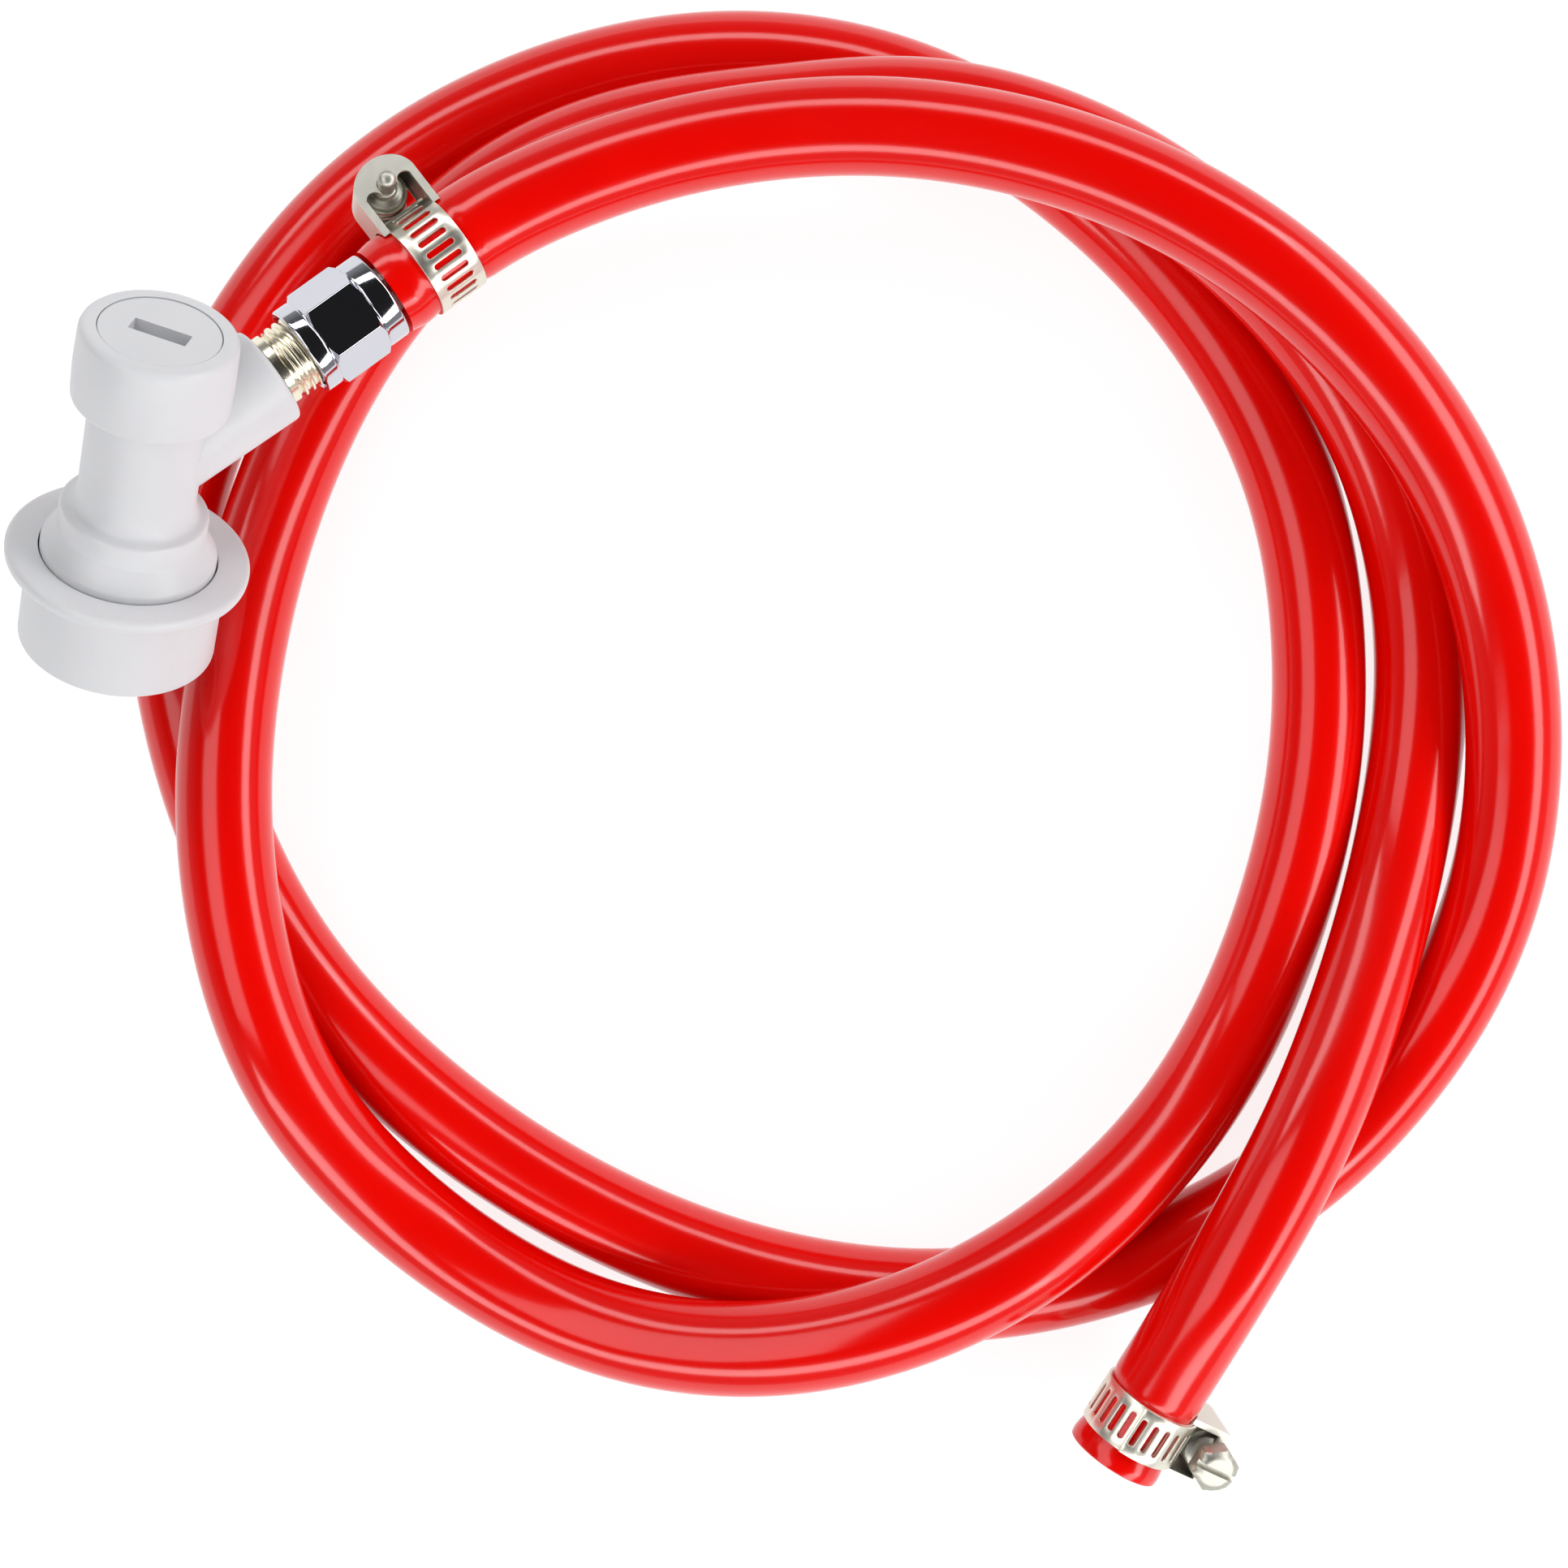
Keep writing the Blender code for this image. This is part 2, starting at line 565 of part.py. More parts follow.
def flare_washer(arm):
    """Cone washer between the two flares."""
    left = CONE_SUM + WASHER_OFFSET
    right = left + WASHER_THICK
    outline = [
        (WASHER_INNER, left - WASHER_INNER),
        (WASHER_OUTER, left - WASHER_OUTER),
        (WASHER_OUTER, right - WASHER_OUTER),
        (WASHER_INNER, right - WASHER_INNER),
    ]
    add_piece("flare_washer", turned(outline, SIDES["washer"]), "white_nylon", arm)


def barb_stem(arm):
    """Stem with a flared head in the nut and barbs in the hose."""
    cavity = CONE_SUM + 2 * WASHER_OFFSET + WASHER_THICK
    rim = cavity - STEM_START
    outline = [
        (rim, STEM_START),
        (STEM_HEAD_RADIUS, STEM_START),
        (STEM_HEAD_RADIUS, STEM_HEAD_END),
        (STEM_NECK_RADIUS, STEM_HEAD_END),
    ]
    for k in range(BARB_COUNT):
        foot = BARB_START + k * BARB_PITCH
        outline += [(BARB_RADIUS, foot), (BARB_VALLEY, foot + BARB_PITCH - EDGE)]
    outline += [
        (STUB_BORE, BARB_START + BARB_COUNT * BARB_PITCH),
        (STUB_BORE, cavity - STUB_BORE),
    ]
    add_piece("barb_stem", turned(outline, SIDES["stem"]), "stainless", arm)


def swivel_nut(arm):
    """Nut with a hex between two round collars, free to turn on the stem."""
    place = arm @ frame(Vector(), Vector((0, 0, 1)), arm.to_3x3().inverted() @ NUT_FLAT)
    round_edge = [
        (NUT_COLLAR_RADIUS - EDGE, NUT_START),
        (NUT_COLLAR_RADIUS, NUT_START + EDGE),
        (NUT_COLLAR_RADIUS, NUT_END - EDGE),
        (NUT_COLLAR_RADIUS - EDGE, NUT_END),
    ]
    outside = turned(round_edge, SIDES["nut"], closed=False)
    piece = add_piece("swivel_nut", outside, "chrome", place)
    half_turn = Matrix.Rotation(HALF_SIDE, 4, "Z")
    corner = NUT_FLATS / 2 / math.cos(HALF_SIDE)
    hexagon = [
        (corner - HEX_CHAMFER, HEX_START),
        (corner, HEX_START + HEX_CHAMFER),
        (corner, HEX_END - HEX_CHAMFER),
        (corner - HEX_CHAMFER, HEX_END),
    ]
    carve(piece, "hex", turned(hexagon, 6, closed=False), place @ half_turn, "UNION")
    bore = [
        (NUT_THREAD_RADIUS, NUT_START - OVERRUN),
        (NUT_THREAD_RADIUS, NUT_WALL_START),
        (NUT_HOLE_RADIUS, NUT_WALL_START),
        (NUT_HOLE_RADIUS, NUT_END + OVERRUN),
    ]
    carve(piece, "bore", turned(bore, SIDES["nut_bore"], closed=False), place)


# ---- Hose -------------------------------------------------------------------------------
def hose_line():
    """Fine points on the hose's middle: a cubic B-spline led by the route's points."""
    start = [ARM_POINT + ARM_AXIS * (HOSE_START + k * START_SPACING * MM) for k in range(3)]
    route = [COIL_CENTRE + Vector(p) * MM for p in ROUTE]
    lead = np.array([tuple(p) for p in start + route])
    lead = np.vstack([2 * lead[0] - lead[1], lead, 2 * lead[-1] - lead[-2]])
    t = np.arange(SPAN_STEPS)[:, None] / SPAN_STEPS
    weights = [(1 - t) ** 3, 3 * t**3 - 6 * t**2 + 4, -3 * t**3 + 3 * t**2 + 3 * t + 1, t**3]
    spans = [
        sum(w * lead[i + k] for k, w in enumerate(weights)) / 6 for i in range(len(lead) - 3)
    ]
    return np.vstack([*spans, lead[-2:-1]])


def distances(line):
    """Distance along a line at each of its points."""
    return np.concatenate([[0], np.cumsum(np.linalg.norm(np.diff(line, axis=0), axis=1))])


def at(line, where):
    """Points at given distances along a line."""
    passed = distances(line)
    return np.stack([np.interp(where, passed, line[:, axis]) for axis in range(3)], axis=1)


def clamp_places(length):
    """Distances along the hose of the two clamps' middles."""
    return np.array([NEAR_CLAMP_AT, length - FAR_CLAMP_AT])


def hose_radius(where, length):
    """Outer radius at given distances: pressed in under each clamp."""
    off = np.min(np.abs(where[:, None] - clamp_places(length)), axis=1)
    press = np.clip((BAND_WIDTH / 2 + SQUEEZE_RAMP - off) / SQUEEZE_RAMP, 0, 1)
    return HOSE_DIAMETER / 2 - SQUEEZE * press


def gas_hose(line):
    """The hose: one hollow tube, levelled underneath where it lies on the table."""
    length = distances(line)[-1]
    steps = np.array([-1, 1])
    from_band = np.concatenate([
        steps * BAND_WIDTH / 2, steps * (BAND_WIDTH / 2 + SQUEEZE_RAMP),
    ])
    edges = (clamp_places(length)[:, None] + from_band).ravel()
    even = np.linspace(0, length, HOSE_RINGS)
    clear = np.min(np.abs(even[:, None] - edges), axis=1) > HOSE_DIAMETER / 4
    where = np.sort(np.concatenate([even[clear], edges[(edges > 0) & (edges < length)]]))
    where = np.unique(np.concatenate([[0], where, [length]]))
    middle = at(line, where)
    scales = hose_radius(where, length) / (HOSE_DIAMETER / 2)
    outside = swept(middle, circle(HOSE_DIAMETER / 2, SIDES["hose"]), scales)
    outside = [[(x, y, max(z, 0.0)) for x, y, z in ring] for ring in outside]
    inside = swept(middle, circle(HOSE_BORE / 2, SIDES["hose"]))
    shape = loft(outside + inside[::-1], closed=True)
    add_piece("gas_hose", shape, "red_pvc", Matrix.Identity(4))
    print(f"hose: {length / MM:.0f} mm long, {len(where)} rings, least gap to itself "
          f"{least_gap(middle) / MM:.2f} mm")


def least_gap(middle):
    """Smallest distance between two stretches of the hose's skin."""
    line = at(middle, np.arange(0, distances(middle)[-1], MM))
    count = len(line)
    apart = np.abs(np.arange(count)[:, None] - np.arange(count)) * MM > APART * HOSE_DIAMETER
    spans = np.linalg.norm(line[:, None] - line, axis=2)
    return spans[apart].min() - HOSE_DIAMETER


# ---- Clamps -----------------------------------------------------------------------------
def clamp_band(name, place):
    """Perforated band: a ring of columns, with a slot in every other one."""
    angles = np.arange(BAND_COLUMNS) * 2 * math.pi / BAND_COLUMNS
    half, slot = BAND_WIDTH / 2, BAND_SLOT_LENGTH / 2
    levels = (-half, -slot, slot, half)
    shape = bmesh.new()
    grid = [
        [[shape.verts.new((r * math.cos(a), r * math.sin(a), z)) for z in levels] for a in angles]
        for r in (BAND_INNER, BAND_OUTER)
    ]
    inner, outer = grid

    def is_slot(column):
        middle = (column + 0.5) * 2 * math.pi / BAND_COLUMNS
        return column % 2 == 0 and BAND_PLAIN < middle < 2 * math.pi - BAND_PLAIN

    def wall(column, other, low, high):
        """Face through the band's thickness between two grid corners."""
        shape.faces.new([
            inner[column][low], inner[other][high], outer[other][high], outer[column][low],
        ])

    for column in range(BAND_COLUMNS):
        other = (column + 1) % BAND_COLUMNS
        for row in range(len(levels) - 1):
            if row == 1 and is_slot(column):
                continue
            for skin in grid:
                shape.faces.new([
                    skin[column][row], skin[other][row], skin[other][row + 1], skin[column][row + 1],
                ])
        wall(column, other, 0, 0)
        wall(column, other, 3, 3)
        if is_slot(column):
            wall(column, other, 1, 1)
            wall(column, other, 2, 2)
            wall(column, column, 1, 2)
            wall(other, other, 1, 2)
    add_piece(name + "_band", shape, "stainless", place)


def clamp_housing(name, place):
    """Arched housing over the screw, its front end closed round the screw's tail."""
    steps = np.radians(np.linspace(0, 180, DOME_STEPS))
    outline = [(HOUSING_FOOT, HOUSING_RADIUS)]
    outline += [
        (SCREW_OFFSET + HOUSING_RADIUS * math.sin(a), HOUSING_RADIUS * math.cos(a)) for a in steps
    ]
    outline += [(HOUSING_FOOT, -HOUSING_RADIUS)]
    shape = loft([[(x, y, z) for x, z in outline] for y in (-HOUSING_BACK, HOUSING_FRONT)])
    piece = add_piece(name + "_housing", shape, "stainless", place)
    inner = HOUSING_RADIUS - SHEET
    hollow = [(HOUSING_FOOT - OVERRUN, inner)]
    hollow += [(SCREW_OFFSET + inner * math.sin(a), inner * math.cos(a)) for a in steps]
    hollow += [(HOUSING_FOOT - OVERRUN, -inner)]
    ends = (-HOUSING_BACK - OVERRUN, HOUSING_FRONT - SHEET)
    carve(piece, "channel", loft([[(x, y, z) for x, z in hollow] for y in ends]), place)
    tail = place @ frame(Vector((SCREW_OFFSET, 0, 0)), Vector((0, 1, 0)), Vector((1, 0, 0)))
    hole = rod(TAIL_HOLE_RADIUS, 0, HOUSING_FRONT + OVERRUN, SIDES["tail_hole"])
    carve(piece, "tail_hole", hole, tail)
    mouth = block(
        (HOUSING_FOOT - OVERRUN, 0, MOUTH_EDGE - inner),
        (SCREW_OFFSET - OVERRUN, HOUSING_FRONT + OVERRUN, inner - MOUTH_EDGE),
    )
    carve(piece, "mouth", mouth, place)


def worm_screw(name, place):
    """Screw along its own Z: slotted hex head, worm thread and a round tail."""
    sides = SIDES["screw"]
    angles = np.arange(sides) * 2 * math.pi / sides
    from_flat = (angles + HALF_SIDE) % (2 * HALF_SIDE) - HALF_SIDE
    hexagon = list(SCREW_HEAD_FLATS / 2 / np.cos(from_flat))
    rows = [
        (-SCREW_HEAD_END, [SCREW_FACE_RADIUS] * sides),
        (-SCREW_HEAD_END + EDGE, hexagon),
        (-SCREW_HEAD_START, hexagon),
        (-SCREW_HEAD_START, [SCREW_NECK_RADIUS] * sides),
        (-WORM_HALF - EDGE, [SCREW_NECK_RADIUS] * sides),
    ]
    for z in np.linspace(-WORM_HALF, WORM_HALF, WORM_ROWS):
        phase = z / WORM_PITCH * 2 * math.pi - angles
        rows.append((z, list(WORM_RADIUS - WORM_DEPTH * (0.5 - 0.5 * np.cos(phase)))))
    rows += [
        (WORM_HALF + EDGE, [TAIL_RADIUS] * sides),
        (TAIL_END - TAIL_ROUND, [TAIL_RADIUS] * sides),
        (TAIL_END, [TAIL_RADIUS - TAIL_ROUND] * sides),
    ]
    shape = loft([
        [(r * math.cos(a), r * math.sin(a), z) for r, a in zip(radii, angles)] for z, radii in rows
    ])
    piece = add_piece(name + "_screw", shape, "stainless", place)
    half = SCREW_SLOT_WIDTH / 2
    reach = SCREW_HEAD_FLATS
    slot = block(
        (-reach, -half, -SCREW_HEAD_END - OVERRUN),
        (reach, half, SCREW_SLOT_DEPTH - SCREW_HEAD_END),
    )
    carve(piece, "slot", slot, place)


def worm_clamp(name, centre, along, side):
    """Clamp round the hose: band, housing on the given side, and screw across."""
    place = frame(centre, along, side)
    clamp_band(name, place)
    clamp_housing(name, place)
    offset = Vector((SCREW_OFFSET, 0, 0))
    worm_screw(name, place @ frame(offset, Vector((0, 1, 0)), Vector((1, 0, 0))))
    screw_axis = place.to_3x3() @ Vector((0, 1, 0))
    point = place @ offset
    print(f"{name}_screw: axis {tuple(round(v, 5) for v in screw_axis)}, "
          f"through {tuple(round(v, 5) for v in point)}")


def build():
    """The whole gas line."""
    clear_objects()
    foot = ARM_POINT - BODY_AXIS * ARM_HEIGHT
    upright = frame(foot, BODY_AXIS, ARM_AXIS)
    arm = frame(ARM_POINT, ARM_AXIS, BODY_AXIS)
    disconnect_body(upright, arm)
    locking_balls(upright)
    release_collar(upright)
    collar_spring(upright)
    retaining_ring(upright)
    top_cap(upright)
    cap_o_ring(upright)
    valve_pin(upright)
    pin_spring(upright)
    flare_insert(arm)
    flare_washer(arm)
    barb_stem(arm)
    swivel_nut(arm)
    line = hose_line()
    gas_hose(line)
    length = distances(line)[-1]
    near, far = clamp_places(length)
    near_point, far_point, before, after = at(line, np.array([near, far, far - MM, far + MM]))
    worm_clamp("near_clamp", Vector(near_point), ARM_AXIS, NEAR_HOUSING_SIDE)
    worm_clamp("far_clamp", Vector(far_point), Vector(before - after), FAR_HOUSING_SIDE)
    print("disconnect foot", tuple(round(v, 5) for v in foot))


build()
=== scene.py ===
# %% [markdown]
# # A keg gas line
# This lesson builds the looks of a home brewer's gas line: a light grey ball-lock
# disconnect, a chromed swivel nut, a red hose in a loose coil, and two worm-drive clamps.
# The engineering model comes in first as a fixed frame, with every length in metres. Each
# visible part is then made again with a finer surface in the same place, and rides on the
# body that it belongs to. All of it could be sculpted by hand, but measured profiles and
# short formulas keep every part true to the real one.

# %% The frame
import math

import bmesh
import bpy
import numpy as np
from mathutils import Matrix, Vector


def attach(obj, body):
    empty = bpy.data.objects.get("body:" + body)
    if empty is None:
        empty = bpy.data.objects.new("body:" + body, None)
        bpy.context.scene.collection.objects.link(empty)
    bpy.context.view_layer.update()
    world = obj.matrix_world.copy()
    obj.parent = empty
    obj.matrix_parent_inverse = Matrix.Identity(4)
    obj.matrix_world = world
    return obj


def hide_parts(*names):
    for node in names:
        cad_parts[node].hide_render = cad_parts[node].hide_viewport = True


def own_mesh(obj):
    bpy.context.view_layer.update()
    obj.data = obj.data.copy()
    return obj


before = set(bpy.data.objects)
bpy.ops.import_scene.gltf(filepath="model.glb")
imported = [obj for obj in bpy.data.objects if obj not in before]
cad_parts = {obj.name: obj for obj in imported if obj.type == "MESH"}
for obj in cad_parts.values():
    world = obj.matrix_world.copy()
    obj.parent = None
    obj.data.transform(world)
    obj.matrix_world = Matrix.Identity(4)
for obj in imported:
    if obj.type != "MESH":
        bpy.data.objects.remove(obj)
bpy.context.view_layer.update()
MM = 0.001

# %% [markdown]
# ## Camera
# The photograph was taken straight down over the middle of the coil. Pixels on the hose say
# that one millimetre is 8.08 pixels at 7 mm above the table, and the way that high parts
# grow says the lens was 550 mm above that height. Those two facts fix the lens.

# %% Camera
PHOTO_PIXELS = 1932
PIXELS_PER_MM = 8.08
SCALE_HEIGHT = 7 * MM  # where that scale was read
LENS_HEIGHT = 557 * MM
SENSOR_WIDTH = 36
COIL_CENTRE = Vector((20.3, 8.3, 0.0)) * MM
scene = bpy.context.scene
camera = bpy.data.objects.new("camera", bpy.data.cameras.new("camera"))
camera.location = COIL_CENTRE + Vector((0, 0, LENS_HEIGHT))
camera.data.sensor_width = SENSOR_WIDTH
distance = (LENS_HEIGHT - SCALE_HEIGHT) / MM
camera.data.lens = SENSOR_WIDTH * PIXELS_PER_MM * distance / PHOTO_PIXELS
scene.collection.objects.link(camera)
scene.camera = camera
scene.view_settings.view_transform = "Standard"  # keeps the red as pure as the photograph's
print("lens in mm:", round(camera.data.lens, 1))

# %% [markdown]
# ## Colours and nodes
# Colours are written as the hex values that a colour picker shows on a screen. The renderer
# adds light in linear values, so one function turns a hex code into those. A second small
# function adds a shader node with its settings and its links, so that each finish below
# reads as a short list of nodes.

# %% Colour and node helpers
def linear(code):
    """An sRGB hex code as linear red, green, blue and alpha."""
    values = [int(code[k:k + 2], 16) / 255 for k in (1, 3, 5)]
    return (*(v / 12.92 if v <= 0.04045 else ((v + 0.055) / 1.055) ** 2.4 for v in values), 1.0)


def add_node(tree, kind, settings, links=None):
    """Add one node; settings name its sockets or its own options."""
    node = tree.nodes.new(kind)
    for name, value in settings.items():
        if name in node.inputs:
            node.inputs[name].default_value = value
        else:
            setattr(node, name, value)
    for name, source in (links or {}).items():
        tree.links.new(source, node.inputs[name])
    return node


print("middle grey is", round(linear("#808080")[0], 3), "in linear values")

# %% [markdown]
# Every finish below starts as Blender's Principled shader. No real surface is quite even, so
# its colour or its roughness follows a noise. A photograph of the surface could do that too,
# but a noise needs no file, fits every shape and stays fine from near. Its scale is worked
# out from the size of its spots in millimetres.

# %% Finish helpers
def new_finish(name, **sockets):
    """A material with a Principled shader set as given."""
    made = bpy.data.materials.new(name)
    made.use_nodes = True
    shader = made.node_tree.nodes["Principled BSDF"]
    for socket, value in sockets.items():
        label = socket.replace("_", " ").title().replace("Ior", "IOR")
        shader.inputs[label].default_value = value
    print("finish:", name)
    return made, made.node_tree, shader


def per_metre(size_mm):
    """Noise scale that gives spots of that size."""
    return 1000 / size_mm


def noise(tree, size_mm, detail, where):
    """Cloudy spots of a real size, from 0 to 1."""
    settings = {"Scale": per_metre(size_mm), "Detail": detail}
    return add_node(tree, "ShaderNodeTexNoise", settings, {"Vector": where}).outputs["Fac"]


def shades(tree, shader, factor, first, second):
    """Colour the shader from one hex code to another as factor goes from 0 to 1."""
    mix = add_node(tree, "ShaderNodeMix", {"data_type": "RGBA"}, {"Factor": factor})
    colours = [socket for socket in mix.inputs if socket.type == "RGBA"]
    for socket, code in zip(colours, (first, second)):
        socket.default_value = linear(code)
    result = next(socket for socket in mix.outputs if socket.type == "RGBA")
    tree.links.new(result, shader.inputs["Base Color"])


def bump(tree, height, strength, depth, below=None):
    """Small relief of a real depth, over another relief if there is one below."""
    links = {"Height": height}
    if below:
        links["Normal"] = below
    settings = {"Strength": strength, "Distance": depth}
    return add_node(tree, "ShaderNodeBump", settings, links).outputs["Normal"]


# %% [markdown]
# ## Moulded acetal
# The disconnect is moulded acetal, a dense, slightly waxy plastic with a satin skin. Light
# goes a little way into it, so a touch of subsurface softens it, and the mould leaves a very
# fine unevenness that breaks up the highlights. A plain glossy white would look like china,
# so the shader is kept fairly rough.

# %% Finish of the disconnect
moulded_acetal, tree, shader = new_finish(
    "moulded_acetal", roughness=0.42, ior=1.48, subsurface_weight=0.06,
    subsurface_scale=0.6 * MM,
)
where = add_node(tree, "ShaderNodeTexCoord", {}).outputs["Object"]
shades(tree, shader, noise(tree, 9, 3.0, where), "#D1D1D4", "#C9CACD")
moulded_skin = bump(tree, noise(tree, 0.5, 2.0, where), 0.25, 0.02 * MM)
tree.links.new(moulded_skin, shader.inputs["Normal"])

# %% [markdown]
# ## Extruded PVC
# The hose is soft PVC, coloured all through and pushed out of a ring-shaped die. That makes
# it glossy, with very faint lines along its length. The gloss is a thin skin over a softer
# body, so a coat carries the sharp reflections and the base only a broad sheen. The lines
# follow the hose, so they are drawn with the mesh's own UV map: one axis runs along the hose
# and the other round it, both in metres. Real die lines are finer than a pixel here, so they
# are drawn 1.5 mm wide.

# %% Finish of the hose
extruded_pvc, tree, shader = new_finish(
    "extruded_pvc", roughness=0.17, ior=1.47, coat_weight=0.15, coat_roughness=0.06,
)
along_hose = add_node(tree, "ShaderNodeUVMap", {"uv_map": "along"}).outputs["UV"]
stretch = add_node(tree, "ShaderNodeMapping", {"Scale": (0.02, 1.0, 1.0)}, {"Vector": along_hose})
die_lines = noise(tree, 1.5, 2.0, stretch.outputs["Vector"])
waves = noise(tree, 14, 1.0, along_hose)
shades(tree, shader, waves, "#E00600", "#D60300")
line_relief = bump(tree, die_lines, 0.35, 0.03 * MM)
hose_relief = bump(tree, waves, 0.4, 0.25 * MM, below=line_relief)
tree.links.new(hose_relief, shader.inputs["Normal"])

# %% [markdown]
# ## Metals
# The nut is bright chrome plate over brass. The stub is nickel plate, which is warmer. The
# clamps are stainless: a rolled strap, bright with a fine grain, a housing dulled by the
# press, and a turned screw, whose darker tint is partly painted shade for its worm inside
# the housing. The springs and balls are drawn. A metal's colour is what it reflects, so only
# the tint, the roughness and the grain differ, and one function makes all.

# %% Finishes of the metals
def metal(name, tint, roughness, grain_mm, depth_mm):
    """A plated or rolled metal whose roughness and surface vary with its grain."""
    made, tree, shader = new_finish(name, metallic=1.0, base_color=linear(tint))
    where = add_node(tree, "ShaderNodeTexCoord", {}).outputs["Object"]
    grain = noise(tree, grain_mm, 3.0, where)
    ends = {"To Min": roughness * 0.8, "To Max": roughness * 1.25}
    spread = add_node(tree, "ShaderNodeMapRange", ends, {"Value": grain})
    tree.links.new(spread.outputs["Result"], shader.inputs["Roughness"])
    tree.links.new(bump(tree, grain, 0.3, depth_mm * MM), shader.inputs["Normal"])
    return made


chrome_plate = metal("chrome_plate", "#CDCED6", 0.08, 2.5, 0.004)
nickel_plate = metal("nickel_plate", "#EDE6D2", 0.22, 1.5, 0.001)
rolled_stainless = metal("rolled_stainless", "#E4E1D4", 0.34, 0.8, 0.002)
pressed_stainless = metal("pressed_stainless", "#DEDCD2", 0.46, 0.8, 0.002)
# the screw's tint is darker than the strap's, partly painted shade for the worm inside the housing
turned_stainless_and_shade = metal("turned_stainless_and_shade", "#B9B7AD", 0.42, 0.8, 0.002)
drawn_stainless = metal("drawn_stainless", "#C9C8C4", 0.25, 0.4, 0.01)

# %% [markdown]
# ## Seals
# The seals inside are nitrile rubber, matte and nearly black, and the flare washer is white
# nylon. Both are hidden until the joints move or the part is seen from below, so a fine
# speckle is all that they need.

# %% Finishes of the seals
def soft_part(name, dark, light, roughness):
    """Rubber or nylon: two close shades in a half-millimetre speckle."""
    made, tree, shader = new_finish(name, roughness=roughness)
    where = add_node(tree, "ShaderNodeTexCoord", {}).outputs["Object"]
    shades(tree, shader, noise(tree, 0.5, 2.0, where), dark, light)
    return made


nitrile_rubber = soft_part("nitrile_rubber", "#1C1C1C", "#2A2A2A", 0.7)
white_nylon = soft_part("white_nylon", "#E2E0D6", "#EBE9E0", 0.5)

# %% [markdown]
# ## Shapes from rings
# Most of these parts were turned, wound or drawn, so their surfaces are rows of rings. One
# function skins such rings into a closed mesh. Another turns a profile of radius and height
# round Z, as the Screw modifier would, but without leaving a modifier on the piece. The
# profiles need round corners, because no moulded or machined edge is truly sharp, and the
# small round is what catches the light.

# %% Ring helpers
def outward(mesh):
    """The same mesh with all its faces pointing out."""
    shape = bmesh.new()
    shape.from_mesh(mesh)
    bmesh.ops.recalc_face_normals(shape, faces=shape.faces)
    shape.to_mesh(mesh)
    shape.free()
    return mesh


def skin(rings, closed=False):
    """A mesh over rings of equally many points; its ends are filled unless it is closed."""
    rings = np.asarray(rings, dtype=float)
    rows, sides, _ = rings.shape
    index = np.arange(rows * sides).reshape(rows, sides)
    low = index if closed else index[:-1]
    high = np.roll(index, -1, axis=0) if closed else index[1:]
    faces = np.stack([low, np.roll(low, -1, 1), np.roll(high, -1, 1), high], axis=-1)
    faces = faces.reshape(-1, 4).tolist()
    if not closed:
        faces += [index[0][::-1].tolist(), index[-1].tolist()]
    mesh = bpy.data.meshes.new("shape")
    mesh.from_pydata(rings.reshape(-1, 3).tolist(), [], faces)
    return outward(mesh)


TURNED_SIDES = 96


def turned(profile, sides=TURNED_SIDES, closed=False):
    """A shape turned about Z from (radius, height) points."""
    angles = np.arange(sides) * 2 * math.pi / sides
    rings = [[(r * math.cos(a), r * math.sin(a), z) for a in angles] for r, z in profile]
    return skin(rings, closed)


print("a turned shape has", TURNED_SIDES, "sides unless told otherwise")

# %% [markdown]
# A bevel could round the edges after the cuts, but it often fails where many cuts meet. So
# the corners of a profile are rounded first, each with a radius of its own where it needs
# one. A small curve through the corner does that: it leaves one side before the corner and
# meets the other after it.

# %% Corner helper
NEARLY_TWO = 2.01  # a round takes just under half a side, so two never meet


def soften(points, radius, steps=4, loop=False):
    """An outline with its corners rounded; a point's third number is a radius of its own."""
    flat = [Vector(p[:2]) for p in points]
    radii = [p[2] if len(p) > 2 else radius for p in points]
    made = []
    for k, corner in enumerate(flat):
        if not loop and k in (0, len(flat) - 1):
            made.append(tuple(corner))
            continue
        before, after = flat[k - 1] - corner, flat[(k + 1) % len(flat)] - corner
        reach = min(radii[k], before.length / NEARLY_TWO, after.length / NEARLY_TWO)
        start, end = corner + before.normalized() * reach, corner + after.normalized() * reach
        for t in np.linspace(0, 1, steps + 1):
            made.append(tuple(start.lerp(corner, t).lerp(corner.lerp(end, t), t)))
    return made


square = [(0, 0), (1, 0), (1, 1), (0, 1)]
print("a square with round corners has", len(soften(square, 0.1, loop=True)), "points")

# %% [markdown]
# ## Pieces
# A piece is a mesh with a finish, a place and a body to ride on. Holes are cut while the
# mesh is still at the origin: the cutting shape becomes an object for a moment, Blender's
# Boolean modifier does the work, and the result is kept as a plain mesh.

# %% Piece helpers
SHARP = math.radians(38)


def cut(mesh, tool, operation="DIFFERENCE"):
    """The mesh with the tool's mesh cut out of it, joined on, or kept in common."""
    both = [bpy.data.objects.new("work", m) for m in (mesh, tool)]
    for thing in both:
        scene.collection.objects.link(thing)
    step = both[0].modifiers.new("cut", "BOOLEAN")
    step.operation = operation
    step.object = both[1]
    seen = both[0].evaluated_get(bpy.context.evaluated_depsgraph_get())
    result = bpy.data.meshes.new_from_object(seen)
    for thing in both:
        bpy.data.objects.remove(thing)
    return result


def moved(mesh, place):
    """The mesh carried to another place."""
    mesh.transform(place)
    return mesh


def add_piece(name, mesh, finish, place, body, nodes=()):
    """Show a mesh as a piece that rides on a body and stands for CAD nodes."""
    mesh.shade_smooth()
    mesh.set_sharp_from_angle(angle=SHARP)
    mesh.materials.clear()
    mesh.materials.append(finish)
    piece = bpy.data.objects.new(name, mesh)
    piece.matrix_world = place
    scene.collection.objects.link(piece)
    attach(piece, body)
    if nodes:
        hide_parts(*nodes)
    print(f"{name}: {len(mesh.polygons)} faces")
    return piece


